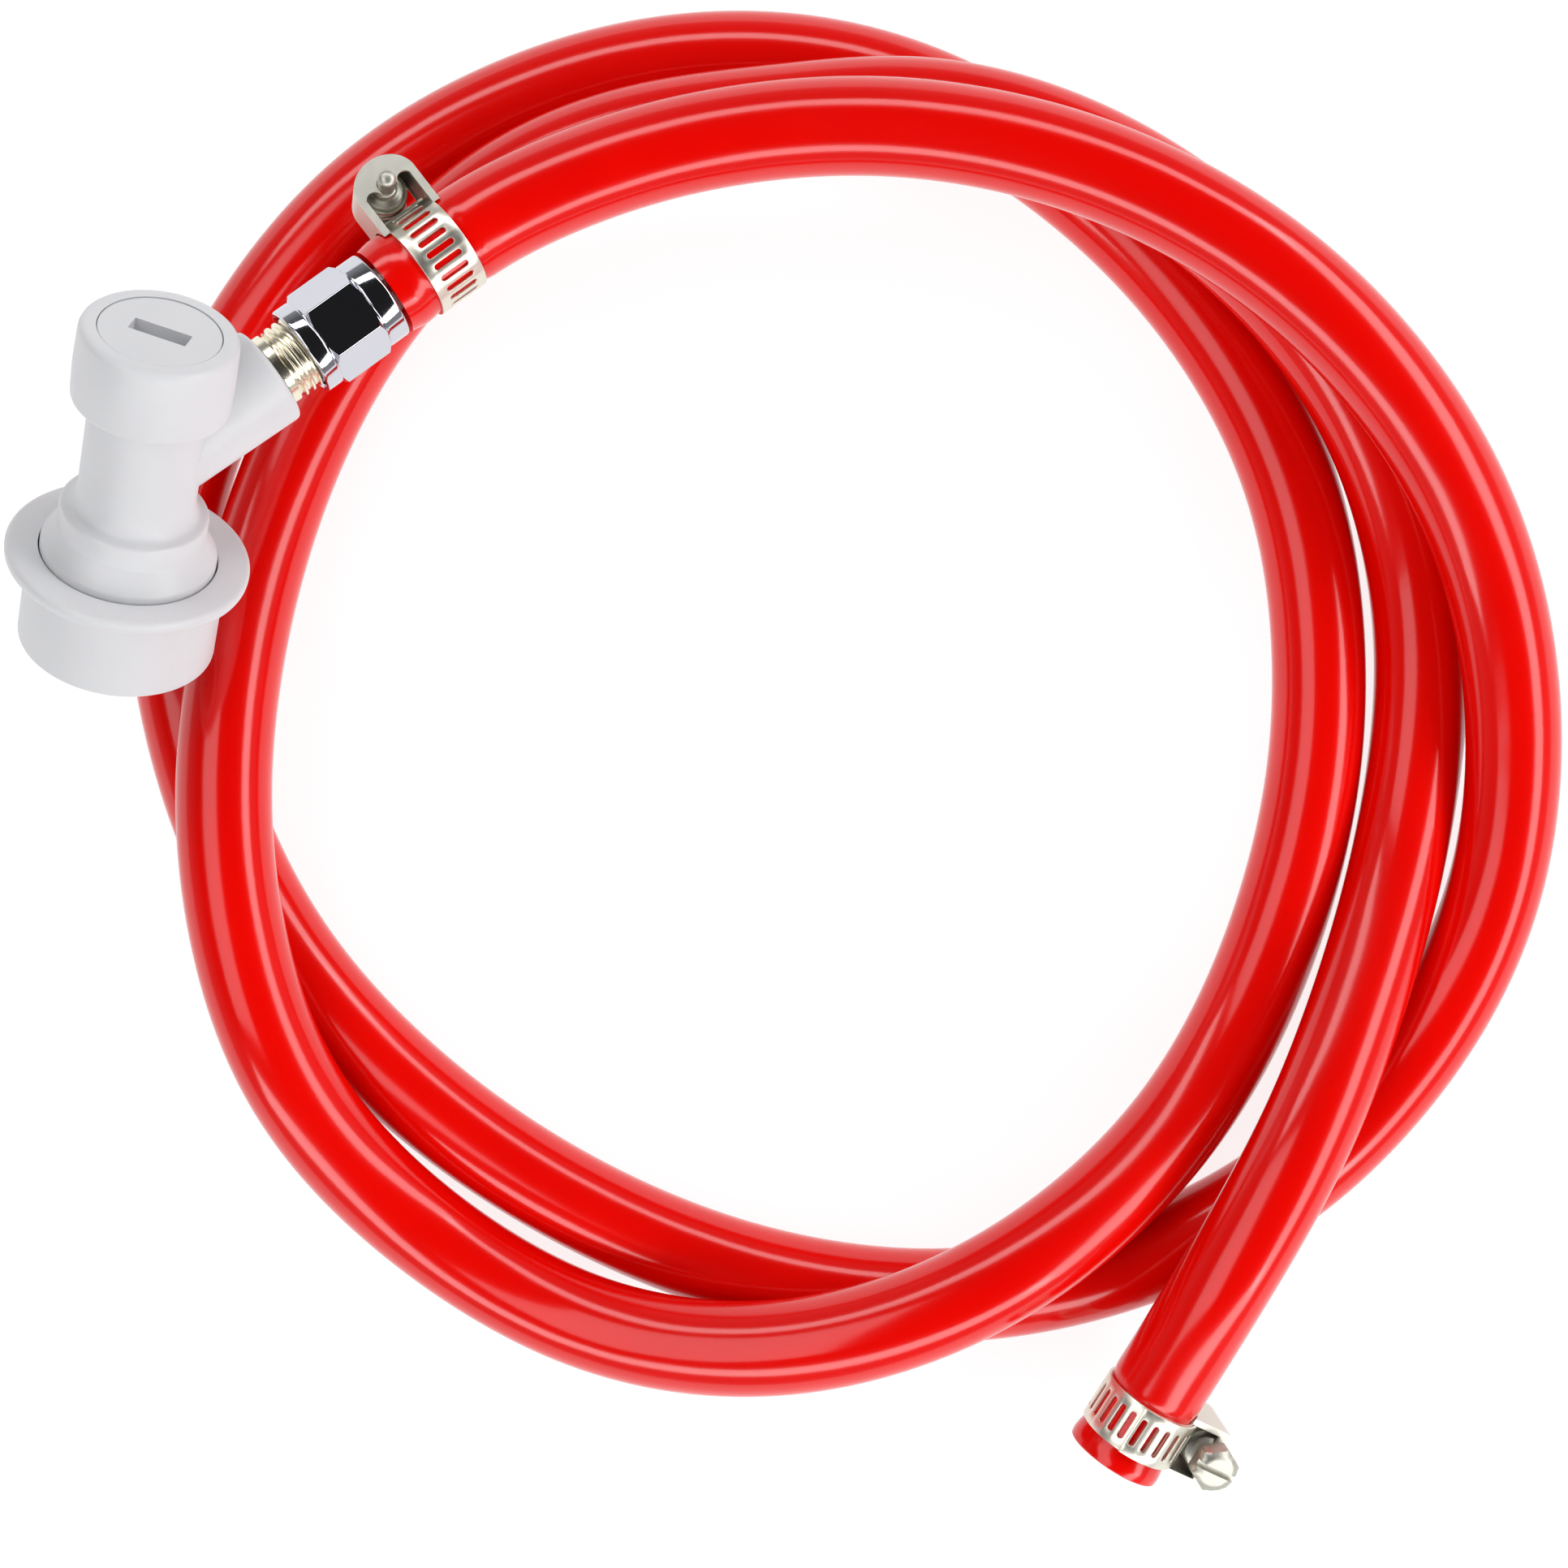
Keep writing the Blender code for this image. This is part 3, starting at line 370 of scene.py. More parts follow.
def place_at(origin, z_axis, x_hint):
    """Matrix of a place at origin with its Z along z_axis and its X towards x_hint."""
    z_axis = z_axis.normalized()
    x_axis = (x_hint - x_hint.dot(z_axis) * z_axis).normalized()
    turn = Matrix((x_axis, z_axis.cross(x_axis), z_axis)).transposed().to_4x4()
    return Matrix.Translation(origin) @ turn


print("edges of more than", round(math.degrees(SHARP)), "degrees are shaded sharp")

# %% [markdown]
# ## The hose's route
# The hose starts at the nut, climbs over the coil, and goes round about 2.4 times to its
# bare end. The points below are its guide, in millimetres from the middle of the coil. A
# cubic B-spline runs near them, which is how a stiff hose behaves: it never turns sharply.
# Bezier curves would pass through the points, and wobble between them.

# %% Route
ARM_POINT = COIL_CENTRE + Vector((-90.6, 44.7, 49.0)) * MM
ARM_AXIS = Vector((0.778, 0.599, -0.189)).normalized()
BODY_AXIS = Vector((0.2255, 0.7643, 0.6041)).normalized()
HOSE_START = 42.9 * MM
TABLE = 5.72  # mm, height of the middle where the hose lies on the table
ROUTE = [
    (-26.0, 89.5, 36.0), (-8.0, 94.5, 34.0), (14.5, 96.0, 35.5), (38.0, 92.0, 36.5),
    (59.0, 83.5, 36.0), (79.0, 70.0, 33.4), (96.0, 51.0, 27.2), (106.5, 30.5, 19.5),
    (110.5, 8.0, 15.0), (109.5, -14.5, 9.0), (101.0, -36.0, TABLE), (83.5, -57.0, TABLE),
    (63.0, -70.0, TABLE), (39.5, -77.5, TABLE), (16.0, -79.0, TABLE), (-10.0, -74.0, TABLE),
    (-35.5, -62.5, TABLE), (-57.5, -47.0, TABLE), (-76.0, -27.5, TABLE), (-87.5, -5.0, TABLE),
    (-93.5, 20.0, TABLE), (-94.0, 43.0, TABLE), (-84.5, 66.0, TABLE), (-67.5, 89.0, TABLE),
    (-45.5, 103.0, TABLE), (-21.0, 111.0, TABLE), (4.5, 111.5, TABLE), (28.0, 104.0, TABLE),
    (50.5, 88.0, TABLE), (67.5, 68.5, TABLE), (79.0, 45.5, TABLE), (82.5, 20.5, TABLE),
    (81.0, -4.0, TABLE), (73.0, -30.5, 6.0), (60.0, -53.0, 10.0), (39.5, -70.0, 20.5),
    (17.5, -81.0, 22.0), (-6.5, -86.0, 17.5), (-33.0, -82.5, 9.0), (-59.0, -65.5, 8.5),
    (-74.5, -46.0, 18.0), (-81.5, -24.5, 21.0), (-84.0, -3.0, 21.0), (-82.5, 19.0, 17.5),
    (-77.5, 43.5, 9.5), (-65.5, 69.0, 9.5), (-46.0, 88.5, 17.0), (-24.0, 98.0, 18.5),
    (-0.5, 100.0, 20.0), (20.0, 102.0, 21.0), (40.5, 97.0, 21.5), (60.0, 86.5, 21.0),
    (78.5, 70.0, 18.0), (91.5, 50.0, 12.8), (97.5, 27.5, 6.5), (97.5, 8.0, TABLE),
    (92.8, -16.1, 8.8), (83.5, -40.5, 17.5), (75.0, -57.5, 22.0), (64.5, -75.5, 20.9),
    (56.7, -90.4, 13.9), (49.6, -101.8, 12.1),
]
print("guide points:", len(ROUTE))

# %% [markdown]
# Each span of a cubic B-spline is a blend of four neighbouring points, with the weights
# written out below. Three extra points in front lead it straight out of the nut, and one
# mirrored point at either end makes it start and stop at a guide point.

# %% Line of the hose
SPAN_STEPS = 64


def hose_line():
    """Fine points on the hose's middle."""
    start = [ARM_POINT + ARM_AXIS * (HOSE_START + k * 10 * MM) for k in range(3)]
    guide = np.array([tuple(p) for p in start + [COIL_CENTRE + Vector(p) * MM for p in ROUTE]])
    guide = np.vstack([2 * guide[0] - guide[1], guide, 2 * guide[-1] - guide[-2]])
    t = np.arange(SPAN_STEPS)[:, None] / SPAN_STEPS
    weights = [(1 - t) ** 3, 3 * t**3 - 6 * t**2 + 4, -3 * t**3 + 3 * t**2 + 3 * t + 1, t**3]
    spans = [
        sum(w * guide[i + k] for k, w in enumerate(weights)) / 6 for i in range(len(guide) - 3)
    ]
    return np.vstack([*spans, guide[-2:-1]])


line = hose_line()
passed = np.concatenate([[0], np.cumsum(np.linalg.norm(np.diff(line, axis=0), axis=1))])
hose_length = passed[-1]
print("hose length in mm:", round(hose_length / MM))

# %% [markdown]
# ## The hose
# A curve with a round bevel would give a plain tube, but this one changes along its length.
# So it is skinned over rings. Each clamp presses the wall in by 0.2 mm, and the cut end
# spreads a little past its clamp. Where the hose lies on the table its underside is level.
# The inside is skinned the same way, so the bare end shows a real bore.

# %% Hose
HOSE_RADIUS = 7.145 * MM
BORE_RADIUS = 3.97 * MM
HOSE_SIDES = 48
RING_STEP = 2 * MM
NEAR_CLAMP_AT = 8.9 * MM
FAR_CLAMP_AT = hose_length - 7.6 * MM
BAND_HALF = 3.9 * MM
PRESS_DEPTH = 0.2 * MM
PRESS_RUN = 2.0 * MM  # how far past the strap the wall comes back to its full width
FLARE = 0.3 * MM
FLARE_RUN = 3.0 * MM
EDGE_ROUND = 0.35 * MM
EDGE_RUN = 0.5 * MM


def at(distance):
    """Points of the hose's middle at given distances along it."""
    return np.stack([np.interp(distance, passed, line[:, axis]) for axis in range(3)], axis=-1)


def hose_rings(where, radii):
    """Rings round the hose's middle, the first point of each straight down."""
    middle = at(where)
    along = np.gradient(middle, axis=0)
    along /= np.linalg.norm(along, axis=1)[:, None]
    side = np.cross(along, (0, 0, 1))
    side /= np.linalg.norm(side, axis=1)[:, None]
    up = np.cross(side, along)
    angles = np.arange(HOSE_SIDES) * 2 * math.pi / HOSE_SIDES - math.pi / 2
    across_hose = np.cos(angles)[None, :, None] * side[:, None]
    spread = across_hose + np.sin(angles)[None, :, None] * up[:, None]
    return middle[:, None] + radii[:, None, None] * spread


print("hose wall in mm:", round((HOSE_RADIUS - BORE_RADIUS) / MM, 2))

# %% [markdown]
# Rings stand closer together at the clamps, where the wall bends in and out again within a
# few millimetres. The outer rings come first and the inner ones return to the start, so one
# skin over all of them is the whole tube.

# %% Hose rings
CLOSE_ZONE = 6.5  # mm on each side of a clamp
CLOSE_RINGS = 27
LEAST_STEP = 0.1 * MM
offsets = np.linspace(-CLOSE_ZONE, CLOSE_ZONE, CLOSE_RINGS) * MM
extra = [clamp + offset for clamp in (NEAR_CLAMP_AT, FAR_CLAMP_AT) for offset in offsets]
extra = [distance for distance in extra if 0 < distance < hose_length]
where = np.unique(np.concatenate([np.arange(0, hose_length, RING_STEP), extra, [hose_length]]))
where = where[np.concatenate([[True], np.diff(where) > LEAST_STEP])]
off = np.minimum(np.abs(where - NEAR_CLAMP_AT), np.abs(where - FAR_CLAMP_AT))
press = np.clip((BAND_HALF + PRESS_RUN - off) / PRESS_RUN, 0, 1)
flare = np.clip((where - FAR_CLAMP_AT - BAND_HALF) / FLARE_RUN, 0, 1) * FLARE
radii = HOSE_RADIUS - PRESS_DEPTH * press**2 * (3 - 2 * press) + flare
edge = np.minimum(where, hose_length - where)
outside = hose_rings(where, radii - EDGE_ROUND * np.clip(1 - edge / EDGE_RUN, 0, 1) ** 2)
outside[..., 2] = np.maximum(outside[..., 2], 0.0)
inside = hose_rings(where, np.full(len(where), BORE_RADIUS))
hose_mesh = skin(np.concatenate([outside, inside[::-1]]), closed=True)
print("rings along the hose:", len(where))

# %% [markdown]
# The UV map for the die lines is written from the same numbers: the distance along the hose
# and the distance round it. Vertices come in rows, so a face corner's row and place in the
# row give both at once.

# %% Hose piece
uv = hose_mesh.uv_layers.new(name="along")
rows = np.concatenate([where, where[::-1]])
corners = np.zeros(len(hose_mesh.loops), dtype=np.int64)
hose_mesh.loops.foreach_get("vertex_index", corners)
turn = np.arange(HOSE_SIDES) / HOSE_SIDES * 2 * math.pi * HOSE_RADIUS
pairs = np.stack([rows[corners // HOSE_SIDES], turn[corners % HOSE_SIDES]], axis=1)
uv.data.foreach_set("uv", pairs.astype(np.float32).ravel())
hose_tube = add_piece(
    "hose_tube", hose_mesh, extruded_pvc, Matrix.Identity(4), "line", ["gas_hose"]
)

# %% [markdown]
# ## Disconnect body
# The body is one moulding: a sleeve that goes over the keg post, a shoulder, a stepped foot,
# a waist and a thick head, with an arm out of its side. It is turned from one profile, since
# radii and heights are easy to compare with the photograph. The arm is joined on, and the
# post socket, the spring chamber and the cap's bore are cut out.

# %% Disconnect body
ARM_HEIGHT = 30.4  # mm from the body's foot to the middle of the arm
FOOT = ARM_POINT - BODY_AXIS * ARM_HEIGHT * MM
upright = place_at(FOOT, BODY_AXIS, ARM_AXIS)
arm = place_at(ARM_POINT, ARM_AXIS, BODY_AXIS)
arm_in_body = upright.inverted() @ arm


def in_metres(points):
    """Points given in millimetres, in metres."""
    return [tuple(v * MM for v in p) for p in points]


body_profile = in_metres([
    (8.8, 1.0), (10.4, 1.0, 0.3), (10.4, 1.6), (9.9, 1.6), (9.9, 2.8), (10.4, 2.8),
    (10.4, 14.6), (12.6, 14.6, 0.3), (12.6, 16.6, 0.3), (10.6, 19.8, 0.4), (10.6, 23.3, 0.5),
    (9.0, 23.7, 0.6), (8.4, 25.6, 1.0), (8.4, 41.7, 0.5), (11.1, 41.7, 0.6),
    (11.3, 46.6, 2.0), (11.1, 53.1, 1.3), (8.7, 53.1),
])
body_mesh = turned(soften(body_profile, 0.15 * MM, 5), 128)
arm_profile = soften(in_metres([(6.8, 0.0), (7.4, 22.7, 1.0), (5.5, 22.7)]), 0.2 * MM, 6)
body_mesh = cut(body_mesh, moved(turned(arm_profile, 96), arm_in_body), "UNION")
hollow = in_metres([
    (8.8, 0.0), (8.8, 15.4), (2.3, 15.4), (2.3, 17.8), (5.0, 17.8), (5.0, 45.9), (8.7, 45.9),
    (8.7, 54.0),
])
body_mesh = cut(body_mesh, turned(hollow, 96))
arm_bore = in_metres([(2.4, 0.0), (2.4, 12.0), (5.5, 12.0), (5.5, 24.0)])
body_mesh = cut(body_mesh, moved(turned(arm_bore, 64), arm_in_body))
print("body so far:", len(body_mesh.polygons), "faces")

# %% [markdown]
# Three holes through the sleeve hold the locking balls, one of them opposite the arm. The
# body is finished with them, so it becomes a piece here.

# %% Ball holes
BALL_HEIGHT = 5 * MM
ball_hole = in_metres([(1.8, 7.8), (1.8, 11.4)])
for k in range(3):
    turn = math.pi + k * 2 * math.pi / 3
    out = Vector((math.cos(turn), math.sin(turn), 0))
    hole_place = place_at(Vector((0, 0, BALL_HEIGHT)), out, Vector((0, 0, 1)))
    body_mesh = cut(body_mesh, moved(turned(ball_hole, 32), hole_place))
add_piece(
    "body_shell", body_mesh, moulded_acetal, upright, "line", ["disconnect_body"]
)

# %% [markdown]
# ## Collar
# The collar is the sleeve that a hand pulls up to let go of the post. Its flange is thick
# with a well rounded rim. It is turned like the body, but from a closed outline, since it is
# open all the way through. A thin dark gap is left to the body, as on the real one.

# %% Collar
collar_profile = in_metres([
    (12.3, 0.0), (14.2, 0.0, 0.5), (14.2, 13.5, 0.4), (17.4, 13.5, 0.9), (17.5, 15.6, 0.9),
    (12.8, 15.6, 0.12), (12.8, 15.0), (13.1, 14.7), (13.1, 7.0), (11.3, 7.0), (11.3, 4.3),
    (12.3, 1.5),
])
collar_mesh = turned(soften(collar_profile, 0.1 * MM, 5, loop=True), 128, closed=True)
add_piece(
    "collar_sleeve", collar_mesh, moulded_acetal, upright, "collar",
    ["release_collar"],
)

# %% [markdown]
# ## Cap
# The cap is a flat disc, flush with the head, with a slot for a coin. The disc is turned,
# and the slot is cut with a bar that is turned to the slot's angle in the photograph. A
# thin dark gap shows all round it.

# %% Cap
SLOT_TURN = math.radians(38.7)
cap_profile = in_metres([(0.5, 48.4), (8.6, 48.4, 0.2), (8.6, 53.0, 0.2), (0.5, 53.0)])
slot_corners = in_metres([(-1.45, -4.2), (1.45, -4.2), (1.45, 4.2), (-1.45, 4.2)])
slot_outline = soften(slot_corners, 0.15 * MM, 3, loop=True)
slot_tool = skin([[(x, y, z * MM) for x, y in slot_outline] for z in (50.4, 54.0)])
slot_tool = moved(slot_tool, Matrix.Rotation(SLOT_TURN, 4, "Z"))
cap_mesh = cut(turned(soften(cap_profile, 0.2 * MM)), slot_tool)
add_piece("cap_disc", cap_mesh, moulded_acetal, upright, "cap", ["top_cap"])

# %% [markdown]
# ## Springs
# Both springs sit inside the body, one under the collar and one over the valve pin. They are
# wound here as open helices, as real springs are, with room between the turns to shorten.

# %% Springs
WIRE_SIDES = 10
STEPS_PER_TURN = 24


def spring(node, radius, wire, bottom, top, turns):
    """A compression spring wound in the body; all in mm."""
    round_wire = np.arange(WIRE_SIDES) * 2 * math.pi / WIRE_SIDES
    rings = []
    for share in np.linspace(0, 1, turns * STEPS_PER_TURN + 1):
        turn = share * turns * 2 * math.pi
        height = bottom + wire + share * (top - bottom - 2 * wire)
        rings.append([
            ((radius + wire * math.cos(b)) * math.cos(turn) * MM,
             (radius + wire * math.cos(b)) * math.sin(turn) * MM,
             (height + wire * math.sin(b)) * MM)
            for b in round_wire
        ])
    piece = add_piece(
        f"{node}_wire", skin(rings), drawn_stainless, upright, "line", [node]
    )
    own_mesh(piece)


spring("collar_spring", 11.9, 0.4, 7.3, 14.3, 3)
spring("pin_spring", 3.3, 0.35, 22.3, 48.1, 8)

# %% [markdown]
# ## Flare stub
# A metal stub is moulded into the arm. A neck and a few turns of thread show before the nut
# covers it, and a 45 degree flare closes the joint inside. A bump could fake the thread, but
# its outline shows against the nut, so it is a real helix: each ring's radius depends on its
# height and on the angle round it.

# %% Thread helper
def threaded(start, end, radius, depth, pitch, sides=64, steps=14, flat=0.2):
    """Rings of a threaded bar: (height, radii) rows whose radius follows a helix."""
    angles = np.arange(sides) * 2 * math.pi / sides
    rows = []
    for z in np.linspace(start, end, max(2, round((end - start) / pitch * steps))):
        phase = np.abs(2 * ((z / pitch - angles / (2 * math.pi)) % 1) - 1)
        sunk = np.clip((phase - flat) / (1 - 2 * flat), 0, 1)
        rows.append((z, radius - depth * sunk * sunk * (3 - 2 * sunk)))
    return rows


def bar(rows, sides=64):
    """A bar along Z from (height, radius or radii) rows."""
    angles = np.arange(sides) * 2 * math.pi / sides
    rings = []
    for z, radius in rows:
        radius = np.broadcast_to(radius, sides)
        ring = [radius * np.cos(angles), radius * np.sin(angles), np.full(sides, z)]
        rings.append(np.stack(ring, 1))
    return skin(rings)


print("rings in one turn of thread:", len(threaded(0, 1, 1, 0.1, 1)))

# %% [markdown]
# The stub is one bar of such rows: a plain neck with a bead, the thread, and the cone of the
# flare. The bore for the gas is cut through it.

# %% Flare stub
STUB_SIDES = 96
stub_rows = in_metres([
    (12.3, 5.2), (22.8, 5.2), (23.0, 5.4), (24.2, 5.4), (24.4, 4.9), (24.8, 4.85),
])
stub_rows += threaded(24.9 * MM, 33.2 * MM, 5.5 * MM, 0.5 * MM, 1.27 * MM, STUB_SIDES, 24)
stub_rows += in_metres([(33.4, 5.2), (35.8, 3.0)])
stub_bore = turned(in_metres([(2.2, 11.0), (2.2, 37.0)]), 48)
stub_mesh = cut(bar(stub_rows, STUB_SIDES), stub_bore)
add_piece("stub_metal", stub_mesh, nickel_plate, arm, "line", ["flare_insert"])

# %% [markdown]
# ## Swivel nut
# The nut is turned from hex bar: the corners of the hex are cut to a cone at both ends, and
# a round collar is left on each side. A cone and a hexagon, kept where they overlap, give
# the curved corner lines of a real nut.

# %% Swivel nut
NUT_FLAT = Vector((0.33, 0.06, 0.94))  # the way that one flat looks
ACROSS_FLATS = 13.0
nut_place = place_at(ARM_POINT, ARM_AXIS, NUT_FLAT)
hex_corner = ACROSS_FLATS / 2 / math.cos(math.radians(30))
hex_corners = in_metres([
    (hex_corner * math.cos(a), hex_corner * math.sin(a))
    for a in np.radians(np.arange(6) * 60 + 30)
])
hex_outline = soften(hex_corners, 0.25 * MM, 3, loop=True)
hex_bar = skin([[(x, y, z * MM) for x, y in hex_outline] for z in (30.2, 39.4)])
chamfer = turned(in_metres([(6.2, 30.15), (7.6, 31.3), (7.6, 38.3), (6.2, 39.45)]), 128)
nut_mesh = cut(hex_bar, chamfer, "INTERSECT")
for low, high in ((27.9, 30.6), (39.0, 42.4)):
    ring = in_metres([(5.0, low), (6.8, low, 0.45), (6.8, high, 0.45), (5.0, high)])
    nut_mesh = cut(nut_mesh, turned(soften(ring, 0.3 * MM, 5), 128), "UNION")
nut_bore = in_metres([
    (6.2, 27.0), (6.2, 27.9), (5.85, 28.3), (5.85, 39.5), (4.1, 39.5), (4.1, 43.0),
])
nut_mesh = cut(nut_mesh, turned(nut_bore, 96))
add_piece("nut_shell", nut_mesh, chrome_plate, nut_place, "nut", ["swivel_nut"])

# %% [markdown]
# ## Clamp strap
# A worm-drive clamp is a stainless strap punched with a row of round-ended slots. The strap
# goes once round the hose, passes under the screw, and its free end lies over the first
# layer for a third of a turn. Cutting some thirty slots out of a band would be slow, so the
# strap is put together from cells that each have one slot, rolled round the hose by turning
# length into angle. Solidify gives it its thickness.

# %% Strap cell
SLOT_PITCH = math.radians(15)
CELLS_ROUND = round(2 * math.pi / SLOT_PITCH)
SLOT_HALF_LENGTH = 2.35 * MM
SLOT_HALF_WIDTH = 0.45 * MM
CELL_CORNER = math.radians(45)  # direction in which a cell's corner lies from its slot's end


def strap_cell(shape, middle, radius, slotted):
    """One cell of the strap, rolled to a radius, with or without its slot."""
    reach = SLOT_HALF_LENGTH - SLOT_HALF_WIDTH

    def point(x, z):
        angle = middle + x
        return shape.verts.new((radius * math.cos(angle), radius * math.sin(angle), z))

    # The cell's rim gets as many points as the slot's, so that four-sided faces join them.
    rim, hole = [], []
    for end in (1, -1):
        for turn in np.radians(np.linspace(0, 180, 9)):
            c, s = end * math.cos(turn), end * math.sin(turn)
            stretch = min(1, abs(s) / math.sin(CELL_CORNER))
            rim_x = max(-1, min(1, c / math.cos(CELL_CORNER))) * SLOT_PITCH / 2
            rim.append((rim_x, end * (reach + (BAND_HALF - reach) * stretch)))
            hole.append((c * SLOT_HALF_WIDTH / radius, end * reach + s * SLOT_HALF_WIDTH))
    if slotted:
        rim, hole = [point(*p) for p in rim], [point(*p) for p in hole]
        for k in range(len(rim)):
            j = (k + 1) % len(rim)
            shape.faces.new([rim[k], rim[j], hole[j], hole[k]])
        return
    heights = sorted({round(z, 7) for x, z in rim})
    places = np.linspace(-1, 1, 5) * SLOT_PITCH / 2
    columns = [[point(x, z) for z in heights] for x in places]
    for left, right in zip(columns, columns[1:]):
        for k in range(len(heights) - 1):
            shape.faces.new([left[k], right[k], right[k + 1], left[k + 1]])


print("cells in one full turn of the strap:", CELLS_ROUND)

# %% [markdown]
# The cells share their edge points, so they merge into one sheet. The few cells right under
# the screw are left without slots, because no slot shows there.

# %% Clamp straps
CELLS_OVER = 8
FIRST_LAYER = 7.2 * MM
SECOND_LAYER = 7.75 * MM
STRAP_THICKNESS = 0.45 * MM
PLAIN_PART = 15  # degrees on each side of the screw
# The side of the hose on which each screw lies, as the photograph shows it.
NEAR_HOUSING_SIDE = Vector((-0.64, 0.77, 0.0))
FAR_HOUSING_SIDE = Vector((0.85, -0.49, -0.37))


def round_edges(piece, width):
    """Take the knife edge off a piece of sheet metal."""
    edge = piece.modifiers.new("edge", "BEVEL")
    edge.width = width
    edge.segments = 2
    edge.limit_method = "ANGLE"


def strap(name, place):
    """The strap of one clamp: a full first layer and the free end over it."""
    shape = bmesh.new()
    for k in range(CELLS_ROUND):
        middle = (k + 0.5) * SLOT_PITCH
        slotted = PLAIN_PART < math.degrees(middle) < 360 - PLAIN_PART
        strap_cell(shape, middle, FIRST_LAYER, slotted)
    for k in range(CELLS_OVER):
        strap_cell(shape, -(k + 0.5) * SLOT_PITCH, SECOND_LAYER, k > 0)
    bmesh.ops.remove_doubles(shape, verts=shape.verts, dist=0.01 * MM)
    mesh = bpy.data.meshes.new(name)
    shape.to_mesh(mesh)
    shape.free()
    node = name.replace("strap", "clamp_band")
    piece = add_piece(name, mesh, rolled_stainless, place, "line", [node])
    thick = piece.modifiers.new("thickness", "SOLIDIFY")
    thick.thickness = STRAP_THICKNESS
    thick.offset = 0
    round_edges(piece, 0.06 * MM)
    return piece


far_along = Vector(at(FAR_CLAMP_AT - MM)) - Vector(at(FAR_CLAMP_AT + MM))
near_place = place_at(Vector(at(NEAR_CLAMP_AT)), ARM_AXIS, NEAR_HOUSING_SIDE)
far_place = place_at(Vector(at(FAR_CLAMP_AT)), far_along, FAR_HOUSING_SIDE)
strap("near_strap", near_place)
far_strap = strap("far_strap", far_place)

# %% [markdown]
# ## Clamp housing
# The housing is pressed from the same sheet: an arch over the screw with a plate at each
# end. The screw's neck goes through one plate, and its tail lies in a notch in the edge of
# the other, which has a round bite on each side of that notch. Sheet metal could be folded
# up here too, but cutting the inside out of a solid arch takes fewer steps.

# %% Clamp housing
SCREW_OFFSET = 11.4 * MM
ARCH_HEIGHT = 0.84  # share of a half circle's height
# Of the tail plate's edge, in mm; heights count from the middle of the hose.
EDGE_HEIGHT, EDGE_HALF = 10.5, 3.8
BITE_MIDDLE, BITE_RADIUS = 2.7, 1.2
NOTCH_RADIUS, NOTCH_RISE = 1.38, 0.9
MOUTH_FOOT = 4.5
across = place_at(Vector((SCREW_OFFSET, 0, 0)), Vector((0, 1, 0)), Vector((1, 0, 0)))


def along_screw(outline, start, end):
    """A bar with the outline (x, z), from one y to another in millimetres."""
    return skin([[(x, y * MM, z) for x, z in outline] for y in (start, end)])


def arch(radius, foot):
    """Outline of the arch: two straight legs and a flattened half circle."""
    turns = np.radians(np.linspace(0, 180, 33))
    dome = [
        (SCREW_OFFSET + ARCH_HEIGHT * radius * math.sin(a), radius * math.cos(a)) for a in turns
    ]
    return [(foot, radius), *dome, (foot, -radius)]


def mouth_outline():
    """Mouth of the tail plate: a notch round the tail and a bite on each side of it."""
    outline = [(MOUTH_FOOT, -EDGE_HALF)]
    for z in np.linspace(-EDGE_HALF, EDGE_HALF, 96):
        bite = math.sqrt(max(0.0, BITE_RADIUS**2 - (abs(z) - BITE_MIDDLE) ** 2))
        notch = math.sqrt(max(0.0, NOTCH_RADIUS**2 - z**2)) + NOTCH_RISE
        rise = max(bite, notch if abs(z) < NOTCH_RADIUS else 0)
        outline.append((EDGE_HEIGHT + rise, z))
    return in_metres([*outline, (MOUTH_FOOT, EDGE_HALF)])


print("points on the mouth's outline:", len(mouth_outline()))

# %% [markdown]
# The two housings are alike, so one function cuts them: first the hollow, then the hole for
# the screw's neck, the mouth at the tail end, an opening towards the strap at the head end,
# and last the round of the hose, so that the legs end on it.

# %% Clamp housings
HEAD_OPENING = in_metres([(4.5, -3.9), (11.0, -3.9), (11.0, 3.9), (4.5, 3.9)])


def housing(name, place):
    """Arch and end plates of one clamp's housing."""
    mesh = cut(
        along_screw(arch(4.9 * MM, 5.4 * MM), -4.5, 4.9),
        along_screw(arch(4.2 * MM, 4.5 * MM), -3.9, 4.2),
    )
    mesh = cut(mesh, moved(turned(in_metres([(2.2, -6.0), (2.2, -3.0)]), 48), across))
    mesh = cut(mesh, along_screw(mouth_outline(), 3.5, 6.0))
    mesh = cut(mesh, along_screw(HEAD_OPENING, -6.0, -3.4))
    mesh = cut(mesh, turned(in_metres([(7.25, -8.0), (7.25, 8.0)]), 96))
    node = name.replace("dome", "clamp_housing")
    piece = add_piece(name, mesh, pressed_stainless, place, "line", [node])
    round_edges(piece, 0.12 * MM)
    return piece


housing("near_dome", near_place)
far_dome = housing("far_dome", far_place)

# %% [markdown]
# ## Clamp screw
# The screw lies across the strap. Its worm is a broad helix that engages the slots and gets
# thinner towards the tail. Its head is a slotted hexagon, and its tail is a plain round pin
# with a domed end. All of it is one row of rings along the screw, so there are no seams, and
# only the slot is cut.

# %% Clamp screw
HEX_SIDES = 60
HEAD_FLATS, HEAD_CORNERS = 3.25, 3.68  # half widths in mm
WORM_RADIUS, WORM_DEPTH, WORM_PITCH = 3.15 * MM, 0.75 * MM, 1.9 * MM
WORM_START, WORM_END = -3.7, 3.6
TAIL_RADIUS, TAIL_END = 1.3, 7.6
SLOT_BOX = in_metres([(-4, -0.45), (4, -0.45), (4, 0.45), (-4, 0.45)])


